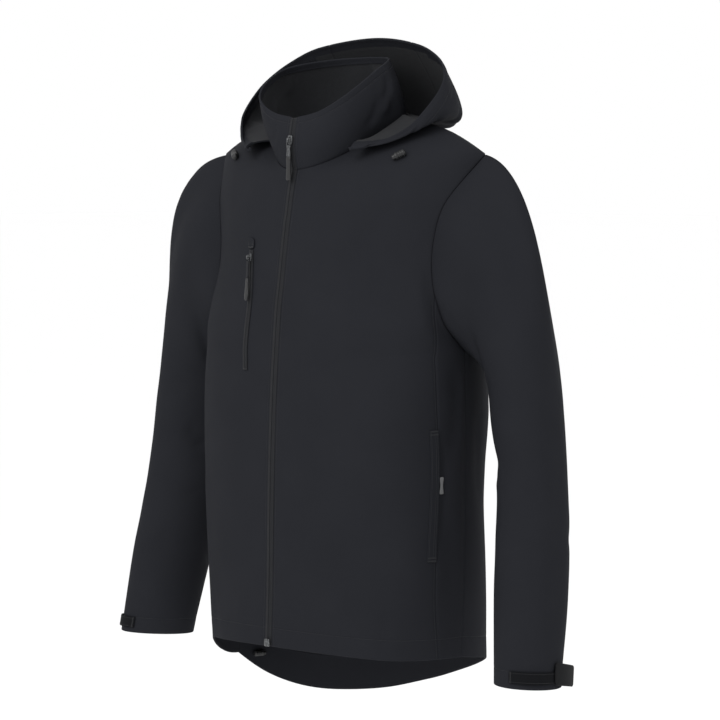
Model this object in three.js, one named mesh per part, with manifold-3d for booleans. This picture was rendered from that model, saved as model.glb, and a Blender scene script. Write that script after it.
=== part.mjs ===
// A hooded softshell jacket, worn by nobody: it keeps the hollow form that it has on a wearer, arms down.
// Frame in millimetres: the front faces -Y, the wearer's left is +X and +Z is up.
// The origin lies in the middle of the neck opening, at the height of the seam beside the neck.
import * as THREE from "three";
import { mergeVertices } from "three/addons/utils/BufferGeometryUtils.js";
import Module from "manifold-3d";

const CLOTH = 2; // bonded softshell with a fleece back
const TRIM = 1.2; // tapes and straps
const SEAM_GAP = 0.2; // each piece keeps this to the middle of its seam
const LIFT = 0.35; // what lies on a panel keeps this to it
const ZIP_HALF = 6;
const ZIP_PROUD = 0.6;
const ZIP_PANEL_GAP = 0.35;
const SLEEVE_GAP = 0.5;
const COLLAR_BULGE = 5;

const CHARCOAL = new THREE.MeshStandardMaterial({ color: 0x2a2c31, roughness: 0.85 });
const MOULDED = new THREE.MeshStandardMaterial({ color: 0x202226, roughness: 0.45 });
const TAPE = new THREE.MeshStandardMaterial({ color: 0x26282c, roughness: 0.6 });
const METAL = new THREE.MeshStandardMaterial({ color: 0x3a3c40, roughness: 0.35, metalness: 0.8 });
const WOVEN = new THREE.MeshStandardMaterial({ color: 0xb9bcc0, roughness: 0.8 });

// Names the columns of a short table, so that a row reads as { v, midY, ... }.
function table(columns, rows) {
  const names = columns.split(" ");
  return rows.map((row) => Object.fromEntries(names.map((name, k) => [name, row[k]])));
}

// The table's values at a key, on a smooth curve through its rows.
function smooth(rows, key, at) {
  const last = rows.length - 1;
  let i = 0;
  while (i < last - 1 && at >= rows[i + 1][key]) i += 1;
  const a = rows[i];
  const b = rows[i + 1];
  const span = b[key] - a[key];
  const s = Math.min(Math.max((at - a[key]) / span, 0), 1);
  const before = rows[Math.max(i - 1, 0)];
  const after = rows[Math.min(i + 2, last)];
  const out = {};
  for (const name of Object.keys(a)) {
    const slopeA = ((b[name] - before[name]) / (b[key] - before[key])) * span;
    const slopeB = ((after[name] - a[name]) / (after[key] - a[key])) * span;
    out[name] =
      (2 * s ** 3 - 3 * s ** 2 + 1) * a[name] +
      (s ** 3 - 2 * s ** 2 + s) * slopeA +
      (3 * s ** 2 - 2 * s ** 3) * b[name] +
      (s ** 3 - s ** 2) * slopeB;
  }
  return out;
}

const mix = (a, b, s) => a + (b - a) * s;
const clamp = (x) => Math.min(Math.max(x, 0), 1);
const soft = (x) => clamp(x) ** 2 * (3 - 2 * clamp(x));
const vec = (x, y, z) => new THREE.Vector3(x, y, z);

// Half sections of the body, from the hem (v 0) to the neck seam (v 1). Each runs from its middle
// point at x 0 to its edge, which is the side seam, then the armhole, then the shoulder seam.
const SECTION = "v midY midZ edgeX edgeY edgeZ reach handX handY handZ";
const FRONT = table(SECTION, [
  [0.0, -155, -702, 210, -8, -716, 116, 4, 84, 0],
  [0.16, -152, -606, 214, -8, -606, 128, 2, 88, 0],
  [0.34, -150, -500, 216, -8, -492, 136, 0, 92, 0],
  [0.5, -147, -405, 217, -8, -392, 140, 0, 94, 0],
  [0.64, -142, -322, 215, -8, -312, 136, 2, 90, 0],
  [0.7, -139, -286, 210, -39, -280, 124, 12, 62, 6],
  [0.75, -136, -256, 205, -50, -252, 114, 26, 50, 8],
  [0.8, -132, -228, 199, -53, -226, 108, 38, 46, 8],
  [0.84, -128, -200, 196, -52, -196, 102, 44, 44, 8],
  [0.87, -125, -178, 197, -50, -170, 98, 48, 44, 6],
  [0.9, -121, -152, 204, -45, -134, 96, 50, 44, 0],
  [0.92, -117, -130, 214, -34, -108, 96, 48, 50, -6],
  [0.945, -113, -108, 238, 4, -58, 92, 46, 64, -14],
  [0.97, -110, -94, 172, 3, -26, 72, 26, 62, 0],
  [1.0, -106, -78, 98, -3, -8, 48, 6, 50, 34],
]);
const BACK = table(SECTION, [
  [0.0, 158, -716, 210, -8, -716, 118, 0, -82, 0],
  [0.16, 140, -612, 214, -8, -606, 126, 0, -77, 0],
  [0.34, 127, -500, 216, -8, -492, 129, 0, -74, 0],
  [0.5, 140, -400, 217, -8, -392, 130, 0, -80, 0],
  [0.64, 141, -316, 215, -8, -312, 126, 2, -78, 0],
  [0.7, 138, -282, 209, 28, -282, 116, 10, -52, 4],
  [0.75, 136, -252, 203, 48, -246, 108, 22, -42, 6],
  [0.8, 135, -222, 198, 56, -214, 102, 34, -38, 8],
  [0.84, 132, -192, 196, 56, -180, 98, 40, -36, 8],
  [0.87, 129, -168, 198, 54, -156, 96, 44, -36, 8],
  [0.9, 122, -138, 206, 48, -122, 94, 46, -38, 6],
  [0.92, 116, -116, 216, 36, -96, 94, 46, -42, 0],
  [0.945, 106, -90, 238, 4, -58, 92, 44, -50, -12],
  [0.97, 80, -42, 172, 3, -26, 66, 24, -46, 0],
  [1.0, 46, 4, 98, -3, -8, 44, 6, -34, 8],
]);
const V_PIT = 0.64;
const V_TIP = 0.945;
const V_SIDE_TOP = 0.76; // the side panel runs out here, on the armhole

// A panel's edge has corners under the arm and at the shoulder's tip: each stretch is its own curve,
// so that front and back share the side seam and the shoulder seam.
const EDGE_STRETCHES = new Map(
  [FRONT, BACK].map((rows) => [
    rows,
    [
      rows.filter((r) => r.v <= V_PIT),
      rows.filter((r) => r.v >= V_PIT && r.v <= V_TIP),
      rows.filter((r) => r.v >= V_TIP),
    ],
  ]),
);
function panelEdge(rows, v) {
  const [low, armhole, high] = EDGE_STRETCHES.get(rows);
  const r = smooth(v <= V_PIT ? low : v < V_TIP ? armhole : high, "v", v);
  return vec(r.edgeX, r.edgeY, r.edgeZ);
}

// The dropped tail: how far the back hem hangs below the level of the side seams, from the wearer's
// right side seam (-1) over the middle of the back (0) to the left one (1).
const TAIL = table("round drop", [
  [-1, -32],
  [-0.8, -65],
  [-0.62, -84],
  [-0.45, -90],
  [-0.22, -84],
  [0, -65],
  [0.22, -42],
  [0.45, -21],
  [0.62, -9],
  [0.8, -1],
  [1, 6],
]);
const TAIL_REACH = 0.3; // the tail's drop dies out at this v

// The seam between the front and the side panel, with the hand pocket in it.
const POCKET_SEAM = table("v t", [
  [0, 0.85],
  [0.1, 0.822],
  [0.2, 0.818],
  [0.3, 0.828],
  [0.4, 0.832],
  [0.5, 0.818],
  [0.6, 0.806],
  [0.64, 0.812],
  [0.7, 0.914],
  [0.75, 0.972],
  [0.76, 0.982],
  [0.775, 1],
  [1, 1],
]);

// Folds: a trough (depth under 0) or ridge along a line from (a0, b0) to (a1, b1), bowed by so many
// millimetres and so wide. On the body a is v, and b is t with the sign of its side.
const FOLD = "a0 b0 a1 b1 bow wide depth";
const FRONT_FOLDS = table(FOLD, [
  [0.84, 0.92, 0.66, 0.8, 5, 16, 1.8],
  [0.6, 0.93, 0.4, 0.9, 6, 12, -2.8],
  [0.56, 0.985, 0.22, 0.95, -5, 13, 2.2],
  [0.3, 0.88, 0.1, 0.9, 4, 12, -1.8],
  [0.83, -0.92, 0.67, -0.81, -5, 15, 1.7],
  [0.6, -0.93, 0.42, -0.91, -6, 12, -2.6],
  [0.52, -0.98, 0.24, -0.95, 5, 13, 2.0],
]);
const BACK_FOLDS = table(FOLD, [
  [0.86, -0.3, 0.9, -0.52, 6, 12, -2.8],
  [0.86, 0.24, 0.9, 0.48, -6, 12, -3.0],
  [0.55, 0.3, 0.8, 0.5, 10, 20, -2.6],
  [0.6, -0.32, 0.82, -0.48, -10, 18, -2.4],
  [0.42, -0.1, 0.38, -0.46, -8, 20, -2.0],
  [0.48, 0.2, 0.5, 0.62, 12, 16, 1.8],
]);
// On a sleeve a runs down from the armhole and b round it.
const SLEEVE_FOLDS = table(FOLD, [
  [0.2, 0.34, 0.34, 0.46, 6, 12, -3.2],
  [0.2, 0.66, 0.36, 0.58, 6, 12, -3.2],
  [0.36, 0.6, 0.46, 0.74, 6, 12, -2.4],
  [0.5, 0.33, 0.54, 0.46, 4, 16, -2.4],
  [0.3, 0.05, 0.92, 0.05, 6, 13, -1.5],
  [0.6, 0.55, 0.56, 0.7, 5, 11, -2.4],
]);

// The push of a list of folds at (a, b), where a and b span so many millimetres. Each fold fades at
// its ends and has a lower, opposite swell along one side.
const SWELL = 0.38;
function foldPush(folds, a, b, spanA, spanB) {
  let push = 0;
  for (const f of folds) {
    const dx = (f.a1 - f.a0) * spanA;
    const dy = (f.b1 - f.b0) * spanB;
    const px = (a - f.a0) * spanA;
    const py = (b - f.b0) * spanB;
    const long = Math.hypot(dx, dy);
    const along = (px * dx + py * dy) / long ** 2;
    const off = (px * dy - py * dx) / long - 4 * f.bow * along * (1 - along);
    const ends = soft((along + 0.12) / 0.42) * soft((1.12 - along) / 0.42);
    const x = off / f.wide;
    push += f.depth * ends * (Math.exp(-(x ** 2)) - SWELL * Math.exp(-((x - 1.9) ** 2) / 1.7));
  }
  return push;
}
const BODY_SPAN = [640, 250];
const SLEEVE_SPAN = [680, 320];

// A point of the body's plain form: side is 1 for the wearer's left and -1 for the right.
function plainBody(rows, side, v, t) {
  const r = smooth(rows, "v", v);
  const edge = panelEdge(rows, v);
  const u = 1 - t;
  const bx = 3 * u * u * t;
  const cx = 3 * u * t * t;
  const dx = t ** 3;
  const p = vec(
    bx * r.reach + cx * (r.edgeX - r.handX) + dx * edge.x,
    (u ** 3 + bx) * r.midY + cx * (r.edgeY - r.handY) + dx * edge.y,
    (u ** 3 + bx) * r.midZ + cx * (r.edgeZ - r.handZ) + dx * edge.z,
  );
  p.x *= side;
  const low = clamp(1 - v / TAIL_REACH) ** 2;
  if (low > 0) {
    const round = rows === BACK ? side * clamp(t) : side;
    const share = rows === BACK ? 1 : soft((t - 0.5) / 0.5);
    p.z += smooth(TAIL, "round", round).drop * share * low;
  }
  return p;
}

// The plain form's outward normal. Front and back share one along the seams where they meet.
const BODY_CORE = vec(0, -5, 0);
function faceNormal(rows, side, v, t) {
  const e = 0.004;
  const across = plainBody(rows, side, v, Math.min(t + e, 1)).sub(plainBody(rows, side, v, Math.max(t - e, 0)));
  const up = plainBody(rows, side, Math.min(v + e, 1), t).sub(plainBody(rows, side, Math.max(v - e, 0), t));
  const n = across.cross(up).normalize();
  const out = plainBody(rows, side, v, t).sub(BODY_CORE);
  out.z = v > 0.9 ? 120 : 0;
  return n.dot(out) < 0 ? n.negate() : n;
}
const JOINED_FROM = 0.85;
function bodyNormal(rows, side, v, t) {
  const n = faceNormal(rows, side, v, t);
  const joined = Math.max(soft((V_PIT + 0.05 - v) / 0.05), soft((v - V_TIP + 0.02) / 0.02));
  const share = clamp((t - JOINED_FROM) / (1 - JOINED_FROM)) ** 2 * joined;
  if (share === 0) return n;
  const other = rows === FRONT ? BACK : FRONT;
  const both = faceNormal(rows, side, v, 1).add(faceNormal(other, side, v, 1)).normalize();
  return n.lerp(both, share).normalize();
}

// A point of the body with its folds, moved out by so many millimetres.
function body(rows, side, v, t, out = 0) {
  const folds = rows === FRONT ? FRONT_FOLDS : BACK_FOLDS;
  const share = soft(v / 0.02) * soft((1 - v) / 0.02) * soft((1 - t) / 0.04);
  const push = foldPush(folds, v, side * t, ...BODY_SPAN) * share;
  return plainBody(rows, side, v, t).addScaledVector(bodyNormal(rows, side, v, t), out + push);
}

// How much t makes so many millimetres across the body at (v, t).
function acrossBody(rows, v, t, millimetres) {
  const e = 0.01;
  const a = plainBody(rows, 1, v, Math.max(t - e, 0));
  const b = plainBody(rows, 1, v, Math.min(t + e, 1));
  return (millimetres * (Math.min(t + e, 1) - Math.max(t - e, 0))) / a.distanceTo(b);
}

// A closed wall: rows x cols of points on the outer face, and the same points moved in along their
// normals. With wrap the last column meets the first, which makes a tube.
function wall({ rows, cols, wrap = false, point, normal, thick }) {
  const outer = [];
  const inner = [];
  for (let i = 0; i < rows; i += 1) {
    for (let j = 0; j < cols; j += 1) {
      const p = point(i, j);
      outer.push(p);
      inner.push(p.clone().addScaledVector(normal(i, j), -thick));
    }
  }
  const points = [...outer, ...inner];
  const faces = [];
  const quad = (a, b, c, d) => faces.push([a, b, c], [a, c, d]);
  const o = (i, j) => i * cols + (j % cols);
  const n = (i, j) => rows * cols + o(i, j);
  const last = wrap ? cols : cols - 1;
  for (let i = 0; i < rows - 1; i += 1) {
    for (let j = 0; j < last; j += 1) {
      quad(o(i, j), o(i, j + 1), o(i + 1, j + 1), o(i + 1, j));
      quad(n(i, j), n(i + 1, j), n(i + 1, j + 1), n(i, j + 1));
    }
    if (!wrap) {
      quad(o(i, 0), o(i + 1, 0), n(i + 1, 0), n(i, 0));
      quad(o(i, last), n(i, last), n(i + 1, last), o(i + 1, last));
    }
  }
  for (let j = 0; j < last; j += 1) {
    quad(o(0, j), n(0, j), n(0, j + 1), o(0, j + 1));
    quad(o(rows - 1, j), o(rows - 1, j + 1), n(rows - 1, j + 1), n(rows - 1, j));
  }
  return closedGeometry(points, faces);
}

// A geometry from points and triangles, with its faces turned out.
function closedGeometry(points, faces) {
  let volume = 0;
  for (const [a, b, c] of faces) {
    volume += points[a].dot(points[b].clone().cross(points[c]));
  }
  const index = faces.flatMap(([a, b, c]) => (volume < 0 ? [a, c, b] : [a, b, c]));
  const geometry = new THREE.BufferGeometry();
  geometry.setFromPoints(points);
  geometry.setIndex(index);
  geometry.computeVertexNormals();
  return geometry;
}

const jacket = new THREE.Group();
function add(name, geometry, material, parent = jacket) {
  const mesh = new THREE.Mesh(geometry, material);
  mesh.name = name;
  parent.add(mesh);
  return mesh;
}
const SIDES = [
  ["left", 1],
  ["right", -1],
];
const between = (from, to, count) => Array.from({ length: count + 1 }, (_, k) => mix(from, to, k / count));

// Body panels.
const V_LOW = between(0, V_PIT, 12);
const V_ARMHOLE = [V_PIT, 0.652, 0.667, 0.69, 0.715, 0.74, V_SIDE_TOP, 0.778, 0.803, 0.832, 0.86, 0.89, 0.915, 0.932, V_TIP];
const V_BREAKS = [...V_LOW.slice(0, -1), ...V_ARMHOLE, 0.958, 0.97, 0.985, 1];
const V_SIDE = V_BREAKS.filter((v) => v <= V_SIDE_TOP);

function zipEdge(v) {
  const want = ZIP_HALF + ZIP_PANEL_GAP;
  let t = 0.02;
  for (let k = 0; k < 12; k += 1) t *= want / plainBody(FRONT, 1, v, t).x;
  return t;
}
// The body's outer edge at v: at a seam it keeps the seam's gap, at the armhole it doesn't.
const outerEdge = (rows, v) => (v > V_PIT && v < V_TIP ? 1 : 1 - acrossBody(rows, v, 1, SEAM_GAP));

const FRONT_COLS = 10;
const BACK_HALF = 10;
function frontPanel(side) {
  const cols = FRONT_COLS;
  const grid = V_BREAKS.map((v) => {
    const seam = smooth(POCKET_SEAM, "v", v).t;
    const end = v > V_SIDE_TOP ? outerEdge(FRONT, v) : seam - acrossBody(FRONT, v, seam, SEAM_GAP);
    return between(zipEdge(v), end, cols - 1);
  });
  return wall({
    rows: V_BREAKS.length,
    cols,
    point: (i, j) => body(FRONT, side, V_BREAKS[i], grid[i][j]),
    normal: (i, j) => bodyNormal(FRONT, side, V_BREAKS[i], grid[i][j]),
    thick: CLOTH,
  });
}

function sidePanel(side) {
  const cols = 5;
  const grid = V_SIDE.map((v) => {
    const seam = smooth(POCKET_SEAM, "v", v).t;
    return between(seam + acrossBody(FRONT, v, seam, SEAM_GAP), outerEdge(FRONT, v), cols - 1);
  });
  return wall({
    rows: V_SIDE.length,
    cols,
    point: (i, j) => body(FRONT, side, V_SIDE[i], grid[i][j]),
    normal: (i, j) => bodyNormal(FRONT, side, V_SIDE[i], grid[i][j]),
    thick: CLOTH,
  });
}

function backPanel() {
  const half = BACK_HALF;
  const at = (i, j) => {
    const v = V_BREAKS[i];
    const share = (j - half) / half;
    return [share < 0 ? -1 : 1, v, Math.abs(share) * outerEdge(BACK, v)];
  };
  return wall({
    rows: V_BREAKS.length,
    cols: 2 * half + 1,
    point: (i, j) => body(BACK, ...at(i, j)),
    normal: (i, j) => bodyNormal(BACK, ...at(i, j)),
    thick: CLOTH,
  });
}

for (const [hand, side] of SIDES) {
  add(`front_${hand}`, frontPanel(side), CHARCOAL);
  add(`side_panel_${hand}`, sidePanel(side), CHARCOAL);
}
add("back", backPanel(), CHARCOAL);

// A curve's point at a share of its length.
function alongPoints(points, share) {
  const lengths = [0];
  for (let k = 1; k < points.length; k += 1) lengths.push(lengths[k - 1] + points[k].distanceTo(points[k - 1]));
  const want = clamp(share) * lengths[lengths.length - 1];
  let k = 1;
  while (k < points.length - 1 && lengths[k] < want) k += 1;
  return points[k - 1].clone().lerp(points[k], (want - lengths[k - 1]) / (lengths[k] - lengths[k - 1]));
}

// Sleeves. Their level rings run down from under the arm; a ring's long axis is turned.
const SLEEVE = table("depth x y long short", [
  [356, 298, 14, 62, 47],
  [400, 305, 12, 61, 47],
  [460, 315, 9, 58.5, 45],
  [540, 325, -1, 57, 47],
  [620, 335, -15, 55, 47],
  [700, 343, -29.5, 52, 44],
  [729, 346, -34, 51, 43],
]);
const SLEEVE_TURN = THREE.MathUtils.degToRad(-44);
const JOIN_DEPTH = SLEEVE[0].depth;
const CUFF_DEPTH = SLEEVE[SLEEVE.length - 1].depth;
const W_JOIN = 0.36; // the share of the sleeve's length that is its head
const CUFF_TILT = 0.05; // the cuff hangs lower at its back

const ARMHOLE_FRONT = between(V_TIP, V_PIT, 610).map((v) => plainBody(FRONT, 1, v, 1));
const ARMHOLE_BACK = between(V_PIT, V_TIP, 610).map((v) => plainBody(BACK, 1, v, 1));
// Round the armhole: 0 at the shoulder, 0.25 in front, 0.5 under the arm, 0.75 behind.
function armhole(round) {
  const r = ((round % 1) + 1) % 1;
  return r <= 0.5 ? alongPoints(ARMHOLE_FRONT, 2 * r) : alongPoints(ARMHOLE_BACK, 2 * r - 1);
}

function sleeveRing(depth, round) {
  const r = smooth(SLEEVE, "depth", depth);
  const angle = 2 * Math.PI * round;
  const dx = Math.cos(angle);
  const dy = -Math.sin(angle);
  const a = dx * Math.cos(SLEEVE_TURN) + dy * Math.sin(SLEEVE_TURN);
  const b = dy * Math.cos(SLEEVE_TURN) - dx * Math.sin(SLEEVE_TURN);
  const size = 1 / Math.hypot(a / r.long, b / r.short);
  const tilt = CUFF_TILT * dy * size * soft((depth - JOIN_DEPTH) / (CUFF_DEPTH - JOIN_DEPTH));
  return vec(r.x + dx * size, r.y + dy * size, -depth - tilt);
}

// The direction in which the sleeve head leaves the armhole, and how strongly. It swells most at the
// shoulder's tip, a little to the front of it.
function headTangent(round) {
  const angle = 2 * Math.PI * round;
  const top = (1 + Math.cos(angle)) / 2;
  const front = Math.max(Math.sin(angle), 0);
  const rear = Math.max(-Math.sin(angle), 0);
  const offTip = round > 0.5 ? round - 1 : round;
  const swell = Math.exp(-(((offTip - 0.017) / 0.06) ** 2));
  const leave = vec(70 + 170 * top ** 1.2 + 78 * front - 30 * rear, 20 * rear - 58 * front, 20 * top - 30);
  return leave.addScaledVector(vec(140, -120, -48), swell);
}
const RING_TANGENT = 0.92;

function plainSleeve(side, round, w) {
  let p;
  if (w >= W_JOIN) {
    p = sleeveRing(mix(JOIN_DEPTH, CUFF_DEPTH, (w - W_JOIN) / (1 - W_JOIN)), round);
  } else {
    const s = w / W_JOIN;
    const start = armhole(round);
    const end = sleeveRing(JOIN_DEPTH, round);
    const reach = end.distanceTo(start);
    const down = sleeveRing(JOIN_DEPTH + 2, round).sub(end).multiplyScalar((RING_TANGENT * reach) / 2);
    const leave = headTangent(round).multiplyScalar(Math.min(Math.max(reach / 280, 0.15), 1));
    p = start
      .multiplyScalar(2 * s ** 3 - 3 * s ** 2 + 1)
      .addScaledVector(leave, s ** 3 - 2 * s ** 2 + s)
      .addScaledVector(end, 3 * s ** 2 - 2 * s ** 3)
      .addScaledVector(down, s ** 3 - s ** 2);
  }
  p.x *= side;
  return p;
}

function sleeveNormal(side, round, w) {
  const e = 0.006;
  const low = Math.max(w - e, 0.001);
  const across = plainSleeve(side, round + e, w).sub(plainSleeve(side, round - e, w));
  const down = plainSleeve(side, round, Math.min(w + e, 1)).sub(plainSleeve(side, round, low));
  return across.cross(down).multiplyScalar(side).normalize();
}

function sleeve(side, round, w, out = 0) {
  const r = ((round % 1) + 1) % 1;
  const push = foldPush(SLEEVE_FOLDS, w, r, ...SLEEVE_SPAN) * soft(w / 0.06) * soft((1 - w) / 0.05);
  return plainSleeve(side, round, w).addScaledVector(sleeveNormal(side, round, w), out + push);
}

// The sleeve's columns start opposite the panels' corner points, so that the two edges run parallel.
function roundAt(points, point) {
  let length = 0;
  let at = 0;
  let best = Infinity;
  points.forEach((p, k) => {
    if (k > 0) length += p.distanceTo(points[k - 1]);
    if (p.distanceTo(point) < best) [best, at] = [p.distanceTo(point), length];
  });
  return at / length;
}
const ROUNDS = [
  ...V_ARMHOLE.slice(1).reverse().map((v) => roundAt(ARMHOLE_FRONT, plainBody(FRONT, 1, v, 1)) / 2),
  ...V_ARMHOLE.slice(0, -1).map((v) => 0.5 + roundAt(ARMHOLE_BACK, plainBody(BACK, 1, v, 1)) / 2),
];
const SLEEVE_COLS = ROUNDS.length;
const SLEEVE_W = [0, 0.035, 0.08, 0.13, 0.19, 0.25, 0.31, ...between(W_JOIN, 1, 11)];
function sleeveTube(side) {
  const at = (i, j) => {
    const round = ROUNDS[j];
    if (i > 0) return [side, round, SLEEVE_W[i]];
    const leave = plainSleeve(1, round, 0.01).distanceTo(plainSleeve(1, round, 0)) / 0.01;
    return [side, round, SLEEVE_GAP / leave];
  };
  return wall({
    rows: SLEEVE_W.length,
    cols: SLEEVE_COLS,
    wrap: true,
    point: (i, j) => sleeve(...at(i, j)),
    normal: (i, j) => sleeveNormal(...at(i, j)),
    thick: CLOTH,
  });
}
for (const [hand, side] of SIDES) add(`sleeve_${hand}`, sleeveTube(side), CHARCOAL);

// Collar: it stands on the neck seam, from the front (round 0) to the middle of the back (round 1).
const NECK = [
  ...between(0, 1, 400).map((t) => plainBody(FRONT, 1, 1, t)),
  ...between(1, 0, 400).slice(1).map((t) => plainBody(BACK, 1, 1, t)),
];
const neck = (round) => alongPoints(NECK, round);
const COLLAR_TOP = table("round x y z", [
  [0, 0, -106, -11],
  [0.15, 42, -104, -3],
  [0.3, 76, -95, 14],
  [0.42, 91, -74, 33],
  [0.55, 92, -42, 53],
  [0.68, 80, -12, 63],
  [0.84, 46, 26, 70],
  [1, 0, 42, 72],
]);
const NECK_CORE = vec(0, -35, 0);
const COLLAR_FOOT = 0.006; // the share of the collar's height that parts it from the body

function collar(side, round, h, out = 0) {
  const low = neck(round);
  const r = smooth(COLLAR_TOP, "round", round);
  const p = low.lerp(vec(r.x, r.y, r.z), h);
  const n = p.clone().sub(NECK_CORE);
  n.z = 0;
  n.normalize();
  p.addScaledVector(n, COLLAR_BULGE * Math.sin(Math.PI * h) + out);
  p.x *= side;
  return p;
}
function collarNormal(side, round, h) {
  const e = 0.01;
  const across = collar(side, Math.min(round + e, 1), h).sub(collar(side, Math.max(round - e, 0), h));
  const up = collar(side, round, Math.min(h + e, 1)).sub(collar(side, round, Math.max(h - e, 0)));
  const n = across.cross(up).normalize();
  if (round > 0.97 || round < 0.03) n.x = 0;
  const out = collar(side, round, h).sub(NECK_CORE).setZ(0);
  return n.dot(out) < 0 ? n.negate() : n;
}
function collarEdge(h) {
  const want = ZIP_HALF + ZIP_PANEL_GAP;
  let round = 0.02;
  for (let k = 0; k < 12; k += 1) round *= want / collar(1, round, h).x;
  return round;
}
// Its columns stand on the corner points of the panels below.
const COLLAR_ROUNDS = [
  ...between(1, 0, BACK_HALF).map((share) => plainBody(BACK, 1, 1, 1 - share)),
  ...between(outerEdge(FRONT, 1), zipEdge(1), FRONT_COLS - 1).slice(1).map((t) => plainBody(FRONT, 1, 1, t)),
].map((p) => 1 - roundAt([...NECK].reverse(), p));
function collarWall() {
  const half = COLLAR_ROUNDS.length - 1;
  const heights = [COLLAR_FOOT, 0.25, 0.5, 0.75, 1];
  const at = (i, j) => {
    const h = heights[i];
    const k = Math.abs(j - half);
    const scale = (1 - collarEdge(h)) / (1 - COLLAR_ROUNDS[half]);
    return [j < half ? -1 : 1, 1 - (1 - COLLAR_ROUNDS[k]) * scale, h];
  };
  return wall({
    rows: heights.length,
    cols: 2 * half + 1,
    point: (i, j) => collar(...at(i, j)),
    normal: (i, j) => collarNormal(...at(i, j)),
    thick: CLOTH,
  });
}
add("collar", collarWall(), CHARCOAL);

// Hood: it lies back as a bowl. Each row gives its lowest line and its face edge, from the front
// corner beside the collar (round 0) to the middle of the back (round 1). The last row mirrors one
// before it, so that the curves run level over the middle.
const HOOD = table("round lowX lowY lowZ rimX rimY rimZ", [
  [0, 90, -90, -56, 92, -98, -50],
  [0.12, 120, -68, -55, 130, -74, -41],
  [0.24, 142, -50, -51, 155, -53, -24],
  [0.36, 161, -32, -43.5, 168, -37, -4],
  [0.48, 169, 0, -36.4, 172, -12, 22],
  [0.6, 160, 40, -41, 165, 8, 44],
  [0.72, 140, 81, -54, 140, 26, 67],
  [0.84, 96, 114, -66, 92, 37, 87],
  [1, 0, 128, -70, 0, 50, 98],
  [1.16, -96, 114, -66, -92, 37, 87],
]);
const HOOD_NECK_FROM = 0.36; // the front corner's place on the neck seam
const HOOD_SEAM = 0.87; // between the side panels and the middle panel
const HOOD_CORE = vec(0, -20, 0);
const HOOD_OUT = 3.4; // its seam lies this far outside the collar's foot
const HOOD_UP = 0.8;

function plainHood(side, round, h) {
  const r = smooth(HOOD, "round", round);
  const low = vec(r.lowX, r.lowY, r.lowZ);
  const rim = vec(r.rimX, r.rimY, r.rimZ);
  const n = low.clone().sub(HOOD_CORE).setZ(0).normalize();
  const foot = neck(mix(HOOD_NECK_FROM, 1, round));
  foot.addScaledVector(n, HOOD_OUT);
  foot.z += HOOD_UP;
  const a = foot.clone().lerp(low, 0.55);
  a.z += 12;
  const b = low.clone().addScaledVector(n, 20);
  b.z += 10;
  const c = low.clone().lerp(rim, 0.55).addScaledVector(n, 4 + 18 * round ** 2);
  const u = 1 - h;
  const p = foot
    .multiplyScalar(u ** 4)
    .addScaledVector(a, 4 * u ** 3 * h)
    .addScaledVector(b, 6 * u * u * h * h)
    .addScaledVector(c, 4 * u * h ** 3)
    .addScaledVector(rim, h ** 4);
  p.x *= side;
  return p;
}
function hoodNormal(side, round, h) {
  const e = 0.01;
  const across = plainHood(side, Math.min(round + e, 1), h).sub(plainHood(side, Math.max(round - e, 0), h));
  const up = plainHood(side, round, Math.min(h + e, 1)).sub(plainHood(side, round, Math.max(h - e, 0)));
  const n = across.cross(up).multiplyScalar(side).normalize();
  if (round > 0.98) n.x = 0;
  return n;
}
const HOOD_HEIGHTS = [0, 0.1, 0.22, 0.36, 0.5, 0.64, 0.78, 0.9, 1];
function hoodPanel(at, cols) {
  return wall({
    rows: HOOD_HEIGHTS.length,
    cols,
    point: (i, j) => plainHood(...at(j), HOOD_HEIGHTS[i]),
    normal: (i, j) => hoodNormal(...at(j), HOOD_HEIGHTS[i]),
    thick: CLOTH,
  });
}
const HOOD_SEAM_GAP = 0.0012;
for (const [hand, side] of SIDES) {
  const rounds = between(0, HOOD_SEAM - HOOD_SEAM_GAP, 12);
  add(`hood_${hand}`, hoodPanel((j) => [side, rounds[j]], rounds.length), CHARCOAL);
}
const MIDDLE_HALF = 4;
const middleAt = (j) => {
  const share = Math.abs(j - MIDDLE_HALF) / MIDDLE_HALF;
  return [j < MIDDLE_HALF ? -1 : 1, mix(1, HOOD_SEAM + HOOD_SEAM_GAP, share)];
};
add("hood_middle", hoodPanel(middleAt, 2 * MIDDLE_HALF + 1), CHARCOAL);

// Front zip: one band from the hem up to the collar's edge, a little proud of the cloth.
const ZIP_V = V_BREAKS.slice(0, -1);
const ZIP_H = [0.02, 0.25, 0.5, 0.75, 1];
function zipPoint(k, out = 0) {
  const p =
    k < ZIP_V.length ? plainBody(FRONT, 1, ZIP_V[k], 0) : collar(1, 0, ZIP_H[k - ZIP_V.length]);
  return p.setX(0).addScaledVector(vec(0, -1, 0), out);
}
const ZIP_COUNT = ZIP_V.length + ZIP_H.length;
const frontZip = wall({
  rows: ZIP_COUNT,
  cols: 2,
  point: (i, j) => zipPoint(i, ZIP_PROUD).setX(j === 0 ? -ZIP_HALF : ZIP_HALF),
  normal: () => vec(0, -1, 0),
  thick: CLOTH,
});
add("front_zip", frontZip, TAPE);

const wasm = await Module();
wasm.setup();
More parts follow.
